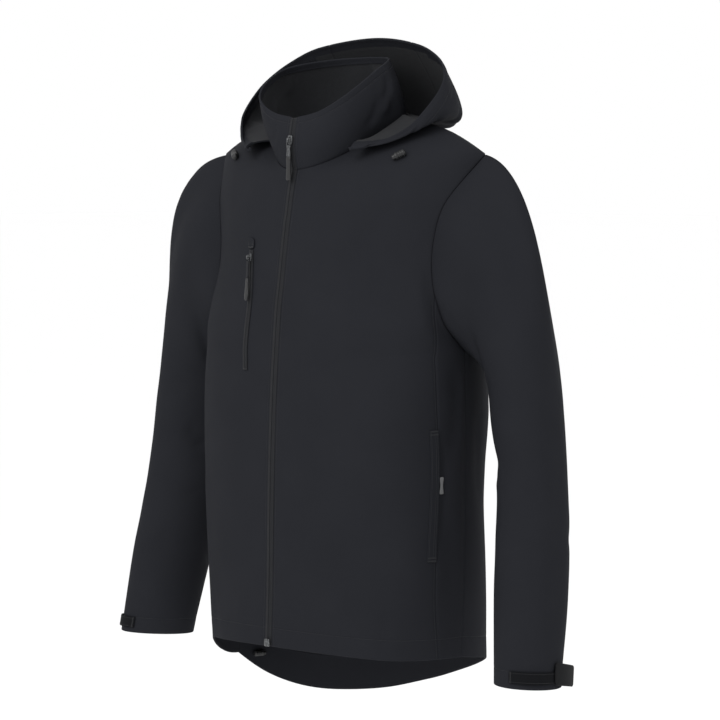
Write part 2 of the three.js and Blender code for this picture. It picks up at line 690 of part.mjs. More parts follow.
// Joins closed geometries, given in one frame, into one.
function fuse(geometries) {
  const solids = geometries.map((g) => {
    const bare = g.clone();
    for (const name of ["normal", "uv"]) if (bare.attributes[name]) bare.deleteAttribute(name);
    const merged = mergeVertices(bare, 1e-4);
    return new wasm.Manifold(
      new wasm.Mesh({
        numProp: 3,
        vertProperties: Float32Array.from(merged.attributes.position.array),
        triVerts: Uint32Array.from(merged.index.array),
      }),
    );
  });
  const mesh = solids.reduce((a, b) => a.add(b)).getMesh();
  const geometry = new THREE.BufferGeometry();
  geometry.setAttribute("position", new THREE.BufferAttribute(mesh.vertProperties, 3));
  geometry.setIndex(new THREE.BufferAttribute(mesh.triVerts, 1));
  geometry.computeVertexNormals();
  return geometry;
}

// A plate of an outline in the local XZ plane, with its thickness along local Y, between two depths.
function plate(shape, fromY, toY) {
  const g = new THREE.ExtrudeGeometry(shape, { depth: toY - fromY, bevelEnabled: false, curveSegments: 5 });
  return g.rotateX(Math.PI / 2).translate(0, toY, 0);
}
function roundedOutline(x, low, high, radius) {
  const s = new THREE.Shape();
  s.moveTo(-x + radius, low);
  s.lineTo(x - radius, low);
  s.absarc(x - radius, low + radius, radius, -Math.PI / 2, 0, false);
  s.lineTo(x, high - radius);
  s.absarc(x - radius, high - radius, radius, 0, Math.PI / 2, false);
  s.lineTo(-x + radius, high);
  s.absarc(-x + radius, high - radius, radius, Math.PI / 2, Math.PI, false);
  s.lineTo(-x, low + radius);
  s.absarc(-x + radius, low + radius, radius, Math.PI, 1.5 * Math.PI, false);
  return s;
}

// A frame on the cloth: local X runs across, local Z up along the zip and local -Y out of the cloth.
function clothFrame(at, out, up) {
  const y = out.clone().negate().normalize();
  const z = up.clone().addScaledVector(y, -up.dot(y)).normalize();
  const x = y.clone().cross(z);
  const group = new THREE.Group();
  group.position.copy(at);
  group.quaternion.setFromRotationMatrix(new THREE.Matrix4().makeBasis(x, y, z));
  jacket.add(group);
  return group;
}

// A slider: a foot on the zip and a bridge whose eye holds the pull's bar. The eye runs across.
const FOOT_THICK = 2.2;
const FOOT_OFF = 0.45;
const EYE = 1.7;
const BAR = 0.8;
const BRIDGE_HALF = 1.5;
const PIVOT_OUT = FOOT_OFF + FOOT_THICK + EYE + 0.2;
function slider(halfWide, halfLong) {
  const foot = plate(roundedOutline(halfWide, -halfLong, halfLong, 2.5), -FOOT_OFF - FOOT_THICK, -FOOT_OFF);
  const top = PIVOT_OUT + EYE + 1;
  const arch = new THREE.Shape();
  arch.moveTo(-4, FOOT_OFF + 1);
  arch.lineTo(4, FOOT_OFF + 1);
  arch.lineTo(3.4, top - 1);
  arch.lineTo(2, top);
  arch.lineTo(-2, top);
  arch.lineTo(-3.4, top - 1);
  arch.closePath();
  const eye = new THREE.Path();
  eye.absarc(0, PIVOT_OUT, EYE, 0, 2 * Math.PI, true);
  arch.holes.push(eye);
  const bridge = new THREE.ExtrudeGeometry(arch, { depth: 2 * BRIDGE_HALF, bevelEnabled: false, curveSegments: 6 });
  // Drawn along X and out along Y: turned so that its length runs along Z and its height along -Y.
  const turn = new THREE.Matrix4().makeBasis(vec(0, 0, 1), vec(0, -1, 0), vec(1, 0, 0));
  bridge.applyMatrix4(turn).translate(-BRIDGE_HALF, 0, 0);
  return fuse([foot, bridge]);
}

// A pull hangs from the eye, with its own origin on the hinge: a bar with two arms and a strap.
function pullLink(long, halfWide) {
  const bar = new THREE.CylinderGeometry(BAR, BAR, 2 * halfWide - 0.4, 10).rotateZ(Math.PI / 2);
  const arm = (x) => new THREE.BoxGeometry(1.4, 1.6, 8).translate(x, 0, -3.4);
  const strap = plate(roundedOutline(halfWide, -long, -6.4, 0.7), -BAR, BAR);
  return fuse([bar, arm(halfWide - 0.7), arm(0.7 - halfWide), strap]);
}
// The moulded grip under the link, waisted a little.
function pullGrip(from, to, halfWide, thick) {
  const s = new THREE.Shape();
  const middle = (from + to) / 2;
  s.moveTo(-halfWide + 0.8, -to);
  s.lineTo(halfWide - 0.8, -to);
  s.quadraticCurveTo(halfWide, -to, halfWide, -to + 1.5);
  s.quadraticCurveTo(halfWide - 0.8, -middle, halfWide - 0.3, -from - 1);
  s.lineTo(halfWide - 1, -from);
  s.lineTo(-halfWide + 1, -from);
  s.lineTo(-halfWide + 0.3, -from - 1);
  s.quadraticCurveTo(0.8 - halfWide, -middle, -halfWide, -to + 1.5);
  s.quadraticCurveTo(-halfWide, -to, -halfWide + 0.8, -to);
  return plate(s, -thick / 2, thick / 2);
}

const SLIDER_Z = -39;
const sliderAt = vec(0, 0, SLIDER_Z);
{
  // The collar's height share at the slider's level.
  const foot = neck(0).z;
  const h = (SLIDER_Z - foot) / (COLLAR_TOP[0].z - foot);
  sliderAt.y = collar(1, 0, h).y - ZIP_PROUD;
}
const mainFrame = clothFrame(sliderAt, vec(0, -1, 0), vec(0, 0, 1));
add("main_slider", slider(4.2, 6), METAL, mainFrame);
const mainPull = new THREE.Group();
mainPull.position.y = -PIVOT_OUT;
mainFrame.add(mainPull);
add("main_pull_link", pullLink(22, 3.7), METAL, mainPull);
add("main_pull_grip", pullGrip(22.3, 53, 4.2, 3), MOULDED, mainPull);

// Zip box at the hem: it starts a little under the band's end and stands off the band.
const BOX = { halfWide: 5, low: -1, high: 9, corner: 1.5, off: 0.3, out: 3.2 };
const boxAt = zipPoint(0, ZIP_PROUD);
const boxPlate = plate(roundedOutline(BOX.halfWide, BOX.low, BOX.high, BOX.corner), -BOX.out, -BOX.off);
add("zip_box", boxPlate.translate(0, boxAt.y, boxAt.z), METAL);

// A strip that lies on a front panel along a line of { v, t }: half wide, and its underside off the cloth.
function panelStrip(side, line, half, thick, off, rowCount, from = 0, to = 1) {
  const rows = between(from, to, rowCount).map((share) => {
    const p = share * (line.length - 1);
    const k = Math.min(Math.floor(p), line.length - 2);
    return { v: mix(line[k].v, line[k + 1].v, p - k), t: mix(line[k].t, line[k + 1].t, p - k) };
  });
  const across = [-1, 0, 1];
  const at = (i, j) => {
    const { v, t } = rows[i];
    return [FRONT, side, v, t + acrossBody(FRONT, v, t, across[j] * half)];
  };
  return wall({
    rows: rows.length,
    cols: across.length,
    point: (i, j) => body(...at(i, j), off + thick),
    normal: (i, j) => bodyNormal(...at(i, j)),
    thick,
  });
}

// Chest pocket on the wearer's right: a coil zip, covered by a garage at the top.
const CHEST_LINE = table("v t", [
  [0.862, 0.245],
  [0.792, 0.195],
  [0.732, 0.175],
  [0.605, 0.146],
]);
const GARAGE_LINE = table("v t", [
  [0.88, 0.258],
  [0.8645, 0.247],
]);
const CHEST_ZIP_HALF = 4;
const CHEST_ZIP_FROM = 0.012; // it starts this far under the garage
const GARAGE_HALF = 6.5;
const GARAGE_THICK = 1.8;
add("chest_zip", panelStrip(-1, CHEST_LINE, CHEST_ZIP_HALF, TRIM, LIFT, 9, CHEST_ZIP_FROM), TAPE);
add("chest_garage", panelStrip(-1, GARAGE_LINE, GARAGE_HALF, GARAGE_THICK, LIFT, 2), CHARCOAL);

const CHEST_SLIDER_V = 0.848;
const CHEST_PULL_LEAN = THREE.MathUtils.degToRad(3); // the pull hangs a little to the wearer's right
const chestT = (v) => {
  const [a, b] = CHEST_LINE;
  return mix(b.t, a.t, (v - b.v) / (a.v - b.v));
};
const chestPoint = (v) => body(FRONT, -1, v, chestT(v), LIFT + TRIM);
const chestFrame = clothFrame(
  chestPoint(CHEST_SLIDER_V),
  bodyNormal(FRONT, -1, CHEST_SLIDER_V - 0.03, chestT(CHEST_SLIDER_V - 0.03)),
  chestPoint(CHEST_SLIDER_V).sub(chestPoint(CHEST_SLIDER_V - 0.08)),
);
add("chest_slider", slider(3.6, 5), METAL, chestFrame);
const chestPull = new THREE.Group();
chestPull.position.y = -PIVOT_OUT;
chestPull.rotation.y = CHEST_PULL_LEAN;
chestFrame.add(chestPull);
add("chest_pull_link", pullLink(28, 3.4), TAPE, chestPull);
add("chest_pull_grip", pullGrip(28.3, 58, 3.8, 2.8), MOULDED, chestPull);

// Hand pockets in the front seams, with a welt on the front panel's side, and a blank tab on the left.
const POCKET_TOP = 0.468;
const POCKET_LOW = 0.195;
const POCKET_WELT = 12;
const WELT_OFF_SEAM = 0.6;
const TAB_OUT = 5;
const TAB_THICK = 0.8;
const TAB_TOP = 0.37;
const TAB_LOW = 0.336;
const seamT = (v, millimetres) => {
  const { t } = smooth(POCKET_SEAM, "v", v);
  return t + acrossBody(FRONT, v, t, millimetres);
};
const seamLine = (top, low, millimetres) =>
  between(top, low, 8).map((v) => ({ v, t: seamT(v, millimetres) }));
for (const [hand, side] of SIDES) {
  const line = seamLine(POCKET_TOP, POCKET_LOW, -WELT_OFF_SEAM - POCKET_WELT / 2);
  add(`pocket_welt_${hand}`, panelStrip(side, line, POCKET_WELT / 2, TRIM, LIFT, 12), CHARCOAL);
}
const tabLine = seamLine(TAB_TOP, TAB_LOW, WELT_OFF_SEAM + TAB_OUT / 2);
add("side_tab", panelStrip(1, tabLine, TAB_OUT / 2, TAB_THICK, LIFT, 2), WOVEN);

// Cuff straps: each lies round the outer front of its cuff, a little loose, and ends in a stiff tab
// that stands off. The depths are those of their upper and lower edges at the front.
const STRAP = { high: 709, low: 723, off: 0.6, loose: 1.6, looseAt: 0.12, steps: 12 };
const STRAP_FRONT = { left: 0.215, right: 0.25 };
const STRAP_BACK = -0.045;
const CUFF_TAB = { from: 0.02, to: -0.125, high: 697, highEnd: 704, low: 724, lowEnd: 729, out: 11, thick: 1.6 };
const TAB_STEPS = 6;
const wAt = (depth) => mix(W_JOIN, 1, (depth - JOIN_DEPTH) / (CUFF_DEPTH - JOIN_DEPTH));
function cuffStrip(side, rounds, high, low, out, thick) {
  return wall({
    rows: rounds.length,
    cols: 2,
    point: (i, j) => sleeve(side, rounds[i], wAt(j === 0 ? high(i) : low(i)), out(i) + thick),
    normal: (i) => sleeveNormal(side, rounds[i], wAt(STRAP.high)),
    thick,
  });
}
for (const [hand, side] of SIDES) {
  const rounds = between(STRAP_FRONT[hand], STRAP_BACK, STRAP.steps);
  const looseness = (i) => STRAP.loose * Math.exp(-(((rounds[i] - STRAP.looseAt) / 0.06) ** 2));
  const strapOut = (i) => STRAP.off + looseness(i);
  add(`cuff_strap_${hand}`, cuffStrip(side, rounds, () => STRAP.high, () => STRAP.low, strapOut, TRIM), TAPE);
  const share = (i) => i / TAB_STEPS;
  const tab = cuffStrip(
    side,
    between(CUFF_TAB.from, CUFF_TAB.to, TAB_STEPS),
    (i) => mix(CUFF_TAB.high, CUFF_TAB.highEnd, share(i)),
    (i) => mix(CUFF_TAB.low, CUFF_TAB.lowEnd, share(i)),
    (i) => STRAP.off + TRIM + 0.5 + CUFF_TAB.out * share(i) ** 1.6,
    CUFF_TAB.thick,
  );
  add(`cuff_tab_${hand}`, tab, MOULDED);
}

// Cord locks: two under the hood's front edge, two inside the hem behind the side seams.
function cordLock(radius, long) {
  const profile = [
    [0, -long / 2],
    [radius - 1.2, -long / 2],
    [radius, -long / 2 + 1.2],
    [radius, long / 2 - 4],
    [radius - 1, long / 2 - 3.4],
    [radius - 1, long / 2 - 1],
    [radius - 2, long / 2],
    [0, long / 2],
  ].map(([x, y]) => new THREE.Vector2(x, y));
  return new THREE.LatheGeometry(profile, 16).rotateZ(-Math.PI / 2);
}
const HOOD_LOCK = { v: 0.953, t: 0.6, radius: 4.6, long: 19, sunk: 0.25 };
const HEM_LOCK = { v: 0.018, t: 0.86, radius: 4.2, long: 18, off: 1 };
for (const [hand, side] of SIDES) {
  const at = [FRONT, side, HOOD_LOCK.v, HOOD_LOCK.t];
  const alongHood = plainHood(side, 0.3, 0.5).sub(plainHood(side, 0.18, 0.5));
  const out = bodyNormal(...at);
  const frame = clothFrame(body(...at, HOOD_LOCK.radius - HOOD_LOCK.sunk), out, alongHood.cross(out));
  add(`hood_lock_${hand}`, cordLock(HOOD_LOCK.radius, HOOD_LOCK.long), MOULDED, frame);
  const hem = [BACK, side, HEM_LOCK.v, HEM_LOCK.t];
  const inside = bodyNormal(...hem).negate();
  const deep = -CLOTH - HEM_LOCK.off - HEM_LOCK.radius;
  const hemFrame = clothFrame(body(...hem, deep), inside, vec(0, 0, 1));
  add(`hem_lock_${hand}`, cordLock(HEM_LOCK.radius, HEM_LOCK.long), MOULDED, hemFrame);
}

export default jacket;
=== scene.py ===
import math

import bpy
import numpy as np
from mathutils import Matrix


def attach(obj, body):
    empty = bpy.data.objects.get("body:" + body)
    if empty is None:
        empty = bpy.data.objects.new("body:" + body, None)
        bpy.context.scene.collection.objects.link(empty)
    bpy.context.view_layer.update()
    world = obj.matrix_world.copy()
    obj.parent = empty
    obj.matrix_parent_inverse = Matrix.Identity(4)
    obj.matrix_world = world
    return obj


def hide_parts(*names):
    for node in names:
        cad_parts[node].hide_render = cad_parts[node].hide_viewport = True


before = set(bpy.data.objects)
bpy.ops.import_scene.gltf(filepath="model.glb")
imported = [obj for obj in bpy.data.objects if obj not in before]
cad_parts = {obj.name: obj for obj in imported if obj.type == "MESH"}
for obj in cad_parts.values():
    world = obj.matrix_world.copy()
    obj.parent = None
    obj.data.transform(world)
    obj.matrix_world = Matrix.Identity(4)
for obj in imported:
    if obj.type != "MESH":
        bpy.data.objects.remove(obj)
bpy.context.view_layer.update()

# Camera. It stands a little over four metres off, turned towards the wearer's left, at the
# height of the collar and tipped down a few degrees. The lens is a long one.
PHOTO_PIXELS = 720
SENSOR = 36
FOCAL_PIXELS = 3257
CAMERA_TURN = math.radians(43.83)
CAMERA_PITCH = math.radians(3.54)
CAMERA_AWAY = 4.362
CAMERA_ASIDE = 0.0134
CAMERA_HEIGHT = -0.0633

camera = bpy.data.objects.new("camera", bpy.data.cameras.new("camera"))
bpy.context.scene.collection.objects.link(camera)
camera.data.sensor_width = SENSOR
camera.data.lens = FOCAL_PIXELS / PHOTO_PIXELS * SENSOR
camera.location = (
    CAMERA_AWAY * math.sin(CAMERA_TURN) + CAMERA_ASIDE * math.cos(CAMERA_TURN),
    -CAMERA_AWAY * math.cos(CAMERA_TURN) + CAMERA_ASIDE * math.sin(CAMERA_TURN),
    CAMERA_HEIGHT,
)
camera.rotation_euler = (math.pi / 2 - CAMERA_PITCH, 0, CAMERA_TURN)
bpy.context.scene.camera = camera

# Studio. A white room with a pale floor far below the hem, a large soft light over the camera's
# left shoulder and a weak one from the other side.
FLOOR_DOWN = -1.45
FLOOR_REACH = 60
bpy.context.scene.view_settings.view_transform = "Standard"
world = bpy.data.worlds.new("white_room")
world.use_nodes = True
world.node_tree.nodes["Background"].inputs["Color"].default_value = (1, 1, 1, 1)
world.node_tree.nodes["Background"].inputs["Strength"].default_value = 1.0
bpy.context.scene.world = world


def soft_light(name, turn, height, away, size, power):
    """A square light that looks at the chest from a turn round the jacket and a height over it."""
    lamp = bpy.data.lights.new(name, "AREA")
    lamp.shape = "SQUARE"
    lamp.size = size
    lamp.energy = power
    placed = bpy.data.objects.new(name, lamp)
    bpy.context.scene.collection.objects.link(placed)
    turn, height = math.radians(turn), math.radians(height)
    placed.location = (
        away * math.sin(turn) * math.cos(height),
        -away * math.cos(turn) * math.cos(height),
        away * math.sin(height) - 0.3,
    )
    placed.rotation_euler = (math.pi / 2 - height, 0, turn)


soft_light("key_light", turn=5, height=38, away=3.2, size=2.2, power=60)
soft_light("side_light", turn=110, height=20, away=3.5, size=2.5, power=14)

floor_mesh = bpy.data.meshes.new("floor")
floor_mesh.from_pydata(
    [(x * FLOOR_REACH, y * FLOOR_REACH, FLOOR_DOWN) for x, y in ((-1, -1), (1, -1), (1, 1), (-1, 1))],
    [],
    [(0, 1, 2, 3)],
)
floor = bpy.data.objects.new("floor", floor_mesh)
bpy.context.scene.collection.objects.link(floor)
floor_paint = bpy.data.materials.new("pale_floor")
floor_paint.use_nodes = True
floor_paint.node_tree.nodes["Principled BSDF"].inputs["Base Color"].default_value = (1, 1, 1, 1)
floor_paint.node_tree.nodes["Principled BSDF"].inputs["Roughness"].default_value = 1
floor_mesh.materials.append(floor_paint)

# Softshell cloth. A plain-woven face is bonded to a fleece back: the face is charcoal with a blue
# cast, faintly mottled and a little rubbed, and the back is a darker, matt pile.


class Value:
    """A socket of a material. Arithmetic on it adds Math nodes."""

    def __init__(self, finish, socket):
        self.finish = finish
        self.socket = socket

    def math(self, operation, *others):
        return self.finish.node("ShaderNodeMath", {"operation": operation}, [self, *others])

    def __add__(self, other):
        return self.math("ADD", other)

    __radd__ = __add__

    def __mul__(self, other):
        return self.math("MULTIPLY", other)

    __rmul__ = __mul__

    def __sub__(self, other):
        return self.math("SUBTRACT", other)

    def __rsub__(self, other):
        return self.finish.node("ShaderNodeMath", {"operation": "SUBTRACT"}, [other, self])

    def __pow__(self, other):
        return self.math("POWER", other)

    def ridges(self, apart):
        """Ridges of 0 to 1 across a place, so far apart."""
        return (self * (2 * math.pi / apart)).math("SINE") * 0.5 + 0.5


class Finish:
    """A material with its shader, and the one method that adds nodes to it."""

    def __init__(self, name, **shader):
        self.material = bpy.data.materials.new(name)
        self.material.use_nodes = True
        self.tree = self.material.node_tree
        self.shader = self.tree.nodes["Principled BSDF"]
        for socket, value in shader.items():
            self.feed(socket.replace("_", " "), value)

    def feed(self, socket, value):
        """Sets or links a socket of the shader."""
        target = self.shader.inputs[socket]
        if isinstance(value, Value):
            self.tree.links.new(value.socket, target)
        else:
            target.default_value = value

    def node(self, kind, settings=None, inputs=(), output=0):
        """Adds a node: settings first, then its sockets' values or links, by name or in order."""
        made = self.tree.nodes.new(kind)
        for name, value in (settings or {}).items():
            setattr(made, name, value)
        pairs = inputs.items() if isinstance(inputs, dict) else enumerate(inputs)
        for name, value in pairs:
            if isinstance(value, Value):
                self.tree.links.new(value.socket, made.inputs[name])
            else:
                made.inputs[name].default_value = value
        return Value(self, made.outputs[output])

    def noise(self, place, scale, detail=2, rough=0.5):
        """Smooth noise of 0 to 1 over a place, with so many cells to its unit."""
        sockets = {"Vector": place, "Scale": scale, "Detail": detail, "Roughness": rough}
        return self.node("ShaderNodeTexNoise", {}, sockets)

    def tint(self, factor, low, high):
        """A colour between two."""
        sockets = {0: factor, 6: (*low, 1), 7: (*high, 1)}
        return self.node("ShaderNodeMix", {"data_type": "RGBA"}, sockets, output=2)

    def bump(self, height, depth):
        """Feeds a relief to the shader's normal; depth is in metres."""
        sockets = {"Height": height, "Distance": depth, "Strength": 1}
        self.feed("Normal", self.node("ShaderNodeBump", {}, sockets))

    def split(self, place):
        """The three parts of a place."""
        parts = self.node("ShaderNodeSeparateXYZ", {}, [place]).socket.node.outputs
        return [Value(self, part) for part in parts]


CLOTH_MAP = "cloth"  # a UV map in millimetres of cloth: across the grain and along it
FACE_DARK = (0.0118, 0.0124, 0.0150)
FACE_LIGHT = (0.0176, 0.0184, 0.0220)
BACK_DARK = (0.0094, 0.0099, 0.0114)
BACK_LIGHT = (0.0172, 0.0180, 0.0204)
YARN = 0.45  # millimetres between yarns


def softshell():
    finish = Finish("softshell", Specular_IOR_Level=0.03)
    grain = finish.node("ShaderNodeUVMap", {"uv_map": CLOTH_MAP})
    across, along, _ = finish.split(grain)
    turn = 2 * math.pi / YARN
    weave = (across * turn).math("SINE") * (along * turn).math("SINE") * 0.5 + 0.5
    cloud = finish.noise(grain, 0.012, 3)
    speck = finish.noise(grain, 0.9, 2)
    shade = cloud * 0.55 + speck * 0.3 + weave * 0.15
    finish.feed("Base Color", finish.tint(shade, FACE_DARK, FACE_LIGHT))
    finish.feed("Roughness", 0.74 + 0.12 * speck - 0.06 * cloud)
    finish.bump(weave * 0.6 + speck * 0.4, 0.00012)
    return finish.material


def fleece():
    finish = Finish("fleece_back", Specular_IOR_Level=0.05, Sheen_Weight=0.03, Sheen_Roughness=0.8)
    grain = finish.node("ShaderNodeUVMap", {"uv_map": CLOTH_MAP})
    pile = finish.noise(grain, 0.7, 4, 0.65)
    tuft = finish.noise(grain, 0.16, 2)
    finish.feed("Base Color", finish.tint(pile * 0.6 + tuft * 0.4, BACK_DARK, BACK_LIGHT))
    finish.feed("Roughness", 0.9 + 0.08 * pile)
    finish.bump(pile * 0.7 + tuft * 0.3, 0.0006)
    return finish.material


SOFTSHELL = softshell()
FLEECE = fleece()

# Body panels. Two fronts and two narrow side panels are cut from softshell, and joined by seams
# that lie open as small valleys. The tables give half sections, from the middle to the edge.
MM = 0.001
CLOTH = 2.0  # the thickness of the bonded cloth, in millimetres


class Table:
    """A short table with named columns. It reads as a smooth curve through its rows."""

    def __init__(self, columns, *rows):
        self.names = columns.split()
        self.rows = np.array(rows, float)
        keys = self.rows[:, 0]
        ends = [0, *range(len(keys) - 2), len(keys) - 2]
        nexts = [1, *range(2, len(keys)), len(keys) - 1]
        self.slopes = (self.rows[nexts] - self.rows[ends]) / (keys[nexts] - keys[ends])[:, None]

    def at(self, key):
        """The columns after the first, at a key or an array of keys."""
        keys = self.rows[:, 0]
        key = np.clip(np.asarray(key, float), keys[0], keys[-1])
        i = np.clip(np.searchsorted(keys, key, "right") - 1, 0, len(keys) - 2)
        span = keys[i + 1] - keys[i]
        s = ((key - keys[i]) / span)[..., None]
        span = span[..., None]
        found = (
            (2 * s**3 - 3 * s**2 + 1) * self.rows[i]
            + (s**3 - 2 * s**2 + s) * span * self.slopes[i]
            + (3 * s**2 - 2 * s**3) * self.rows[i + 1]
            + (s**3 - s**2) * span * self.slopes[i + 1]
        )
        return dict(zip(self.names[1:], np.moveaxis(found[..., 1:], -1, 0)))

    def stretch(self, low, high):
        """The same table between two keys."""
        inside = (self.rows[:, 0] >= low) & (self.rows[:, 0] <= high)
        return Table(" ".join(self.names), *self.rows[inside])


SECTION = "v midY midZ edgeX edgeY edgeZ reach handX handY handZ"
FRONT = Table(
    SECTION,
    (0.0, -155, -702, 210, -8, -716, 116, 4, 84, 0),
    (0.16, -152, -606, 214, -8, -606, 128, 2, 88, 0),
    (0.34, -150, -500, 216, -8, -492, 136, 0, 92, 0),
    (0.5, -147, -405, 217, -8, -392, 140, 0, 94, 0),
    (0.64, -142, -322, 215, -8, -312, 136, 2, 90, 0),
    (0.7, -139, -286, 210, -39, -280, 124, 12, 62, 6),
    (0.75, -136, -256, 205, -50, -252, 114, 26, 50, 8),
    (0.8, -132, -228, 199, -53, -226, 108, 38, 46, 8),
    (0.84, -128, -200, 196, -52, -196, 102, 44, 44, 8),
    (0.87, -125, -178, 197, -50, -170, 98, 48, 44, 6),
    (0.9, -121, -152, 204, -45, -134, 96, 50, 44, 0),
    (0.92, -117, -130, 214, -34, -108, 96, 48, 50, -6),
    (0.945, -113, -108, 238, 4, -58, 92, 46, 64, -14),
    (0.97, -110, -94, 172, 3, -26, 72, 26, 62, 0),
    (1.0, -106, -78, 98, -3, -8, 48, 6, 50, 34),
)
BACK = Table(
    SECTION,
    (0.0, 158, -716, 210, -8, -716, 118, 0, -82, 0),
    (0.16, 140, -612, 214, -8, -606, 126, 0, -77, 0),
    (0.34, 127, -500, 216, -8, -492, 129, 0, -74, 0),
    (0.5, 140, -400, 217, -8, -392, 130, 0, -80, 0),
    (0.64, 141, -316, 215, -8, -312, 126, 2, -78, 0),
    (0.7, 138, -282, 209, 28, -282, 116, 10, -52, 4),
    (0.75, 136, -252, 203, 48, -246, 108, 22, -42, 6),
    (0.8, 135, -222, 198, 56, -214, 102, 34, -38, 8),
    (0.84, 132, -192, 196, 56, -180, 98, 40, -36, 8),
    (0.87, 129, -168, 198, 54, -156, 96, 44, -36, 8),
    (0.9, 122, -138, 206, 48, -122, 94, 46, -38, 6),
    (0.92, 116, -116, 216, 36, -96, 94, 46, -42, 0),
    (0.945, 106, -90, 238, 4, -58, 92, 44, -50, -12),
    (0.97, 80, -42, 172, 3, -26, 66, 24, -46, 0),
    (1.0, 46, 4, 98, -3, -8, 44, 6, -34, 8),
)
TAIL = Table(
    "round drop",
    (-1, -32),
    (-0.8, -65),
    (-0.62, -84),
    (-0.45, -90),
    (-0.22, -84),
    (0, -65),
    (0.22, -42),
    (0.45, -21),
    (0.62, -9),
    (0.8, -1),
    (1, 6),
)
TAIL_REACH = 0.3  # the share of the height over which the hem's drop fades
V_PIT = 0.64  # the low end of the armhole
V_TIP = 0.945  # its high end, at the shoulder seam
V_SIDE_TOP = 0.775  # where the side panel ends in a point at the armhole
EDGES = {
    id(rows): (rows.stretch(0, V_PIT), rows.stretch(V_PIT, V_TIP), rows.stretch(V_TIP, 1))
    for rows in (FRONT, BACK)
}


def soft(x):
    """A smooth step from 0 to 1."""
    x = np.clip(x, 0, 1)
    return x * x * (3 - 2 * x)


def panel_edge(rows, v):
    """The panel's edge: the side seam, the armhole and the shoulder seam meet at corners."""
    low, armhole, high = (part.at(v) for part in EDGES[id(rows)])
    return [
        np.where(v <= V_PIT, low[k], np.where(v < V_TIP, armhole[k], high[k]))
        for k in ("edgeX", "edgeY", "edgeZ")
    ]


def plain_body(rows, v, q):
    """Points of the body: v from the hem to the neck, q from the right edge (-1) to the left (1)."""
    v, q = np.broadcast_arrays(np.asarray(v, float), np.asarray(q, float))
    r = rows.at(v)
    edge_x, edge_y, edge_z = panel_edge(rows, v)
    t = np.abs(q)
    u = 1 - t
    b, c, d = 3 * u * u * t, 3 * u * t * t, t**3
    x = b * r["reach"] + c * (r["edgeX"] - r["handX"]) + d * edge_x
    y = (u**3 + b) * r["midY"] + c * (r["edgeY"] - r["handY"]) + d * edge_y
    z = (u**3 + b) * r["midZ"] + c * (r["edgeZ"] - r["handZ"]) + d * edge_z
    low = np.clip(1 - v / TAIL_REACH, 0, 1) ** 2
    if rows is BACK:
        z = z + TAIL.at(q)["drop"] * low
    else:
        z = z + TAIL.at(np.sign(q))["drop"] * soft((t - 0.5) / 0.5) * low
    return np.stack([np.sign(q) * x, y, z], -1)


def facing(point, a, b, step=0.004):
    """Unit normals of a surface point(a, b), with a within 0 and 1, by small steps along both."""
    up = point(np.clip(a + step, 0, 1), b) - point(np.clip(a - step, 0, 1), b)
    across = point(a, b + step) - point(a, b - step)
    n = np.cross(across, up)
    return n / np.maximum(np.linalg.norm(n, axis=-1, keepdims=True), 1e-9)


SWELL = 0.38


def folds(table, a, b, span_a, span_b):
    """The push of folds at (a, b). The table's columns are a0, b0, a1, b1, bow, wide and depth. Each
    row is a trough or ridge from (a0, b0) to (a1, b1), bowed and so wide in millimetres, that fades
    at its ends and has a lower, opposite swell along one side."""
    push = np.zeros(np.broadcast(a, b).shape)
    for a0, b0, a1, b1, bow, wide, depth in table:
        dx, dy = (a1 - a0) * span_a, (b1 - b0) * span_b
        px, py = (a - a0) * span_a, (b - b0) * span_b
        long = math.hypot(dx, dy)
        along = (px * dx + py * dy) / long**2
        off = (px * dy - py * dx) / long - 4 * bow * along * (1 - along)
        ends = soft((along + 0.12) / 0.42) * soft((1.12 - along) / 0.42)
        x = off / wide
        push += depth * ends * (np.exp(-(x**2)) - SWELL * np.exp(-((x - 1.9) ** 2) / 1.7))
    return push


def unevenness(across, along, size=0.35):
    """A slow, shallow waviness that keeps a panel from being perfect."""
    wave = np.sin(across / 31 + 1.3 * np.sin(along / 57))
    wave = wave + np.sin(along / 43 + 1.7 * np.sin(across / 71 + 0.6))
    return size * (wave + 0.5 * np.sin((across + along) / 19 + 2 * np.sin(along / 37)))


BODY_SPAN = (640, 250)
FRONT_FOLDS = (
    (0.84, 0.92, 0.66, 0.8, 5, 16, 1.8),
    (0.6, 0.93, 0.4, 0.9, 6, 12, -2.8),
    (0.56, 0.985, 0.22, 0.95, -5, 13, 2.2),
    (0.3, 0.88, 0.1, 0.9, 4, 12, -1.8),
    (0.83, -0.92, 0.67, -0.81, -5, 15, 1.7),
    (0.6, -0.93, 0.42, -0.91, -6, 12, -2.6),
    (0.52, -0.98, 0.24, -0.95, 5, 13, 2.0),
    (0.95, 0.24, 0.93, 0.46, 3, 9, -0.9),
    (0.91, 0.6, 0.86, 0.84, 4, 10, -0.8),
    (0.75, 0.14, 0.79, 0.34, 8, 14, -0.6),
    (0.52, 0.28, 0.47, 0.54, 8, 16, 0.6),
    (0.34, 0.5, 0.18, 0.58, -8, 16, -0.7),
    (0.13, 0.1, 0.02, 0.14, 3, 9, -0.8),
    (0.11, 0.32, 0.01, 0.35, 3, 10, 0.7),
    (0.1, 0.56, 0.01, 0.53, 3, 10, -0.8),
    (0.94, -0.3, 0.92, -0.52, -3, 9, -0.9),
    (0.7, -0.3, 0.66, -0.6, -8, 15, -0.7),
    (0.5, -0.24, 0.45, -0.5, -10, 18, 0.6),
    (0.3, -0.42, 0.16, -0.5, 8, 16, -0.7),
    (0.12, -0.14, 0.02, -0.18, -3, 9, 0.7),
    (0.11, -0.44, 0.01, -0.4, -3, 10, -0.8),
)
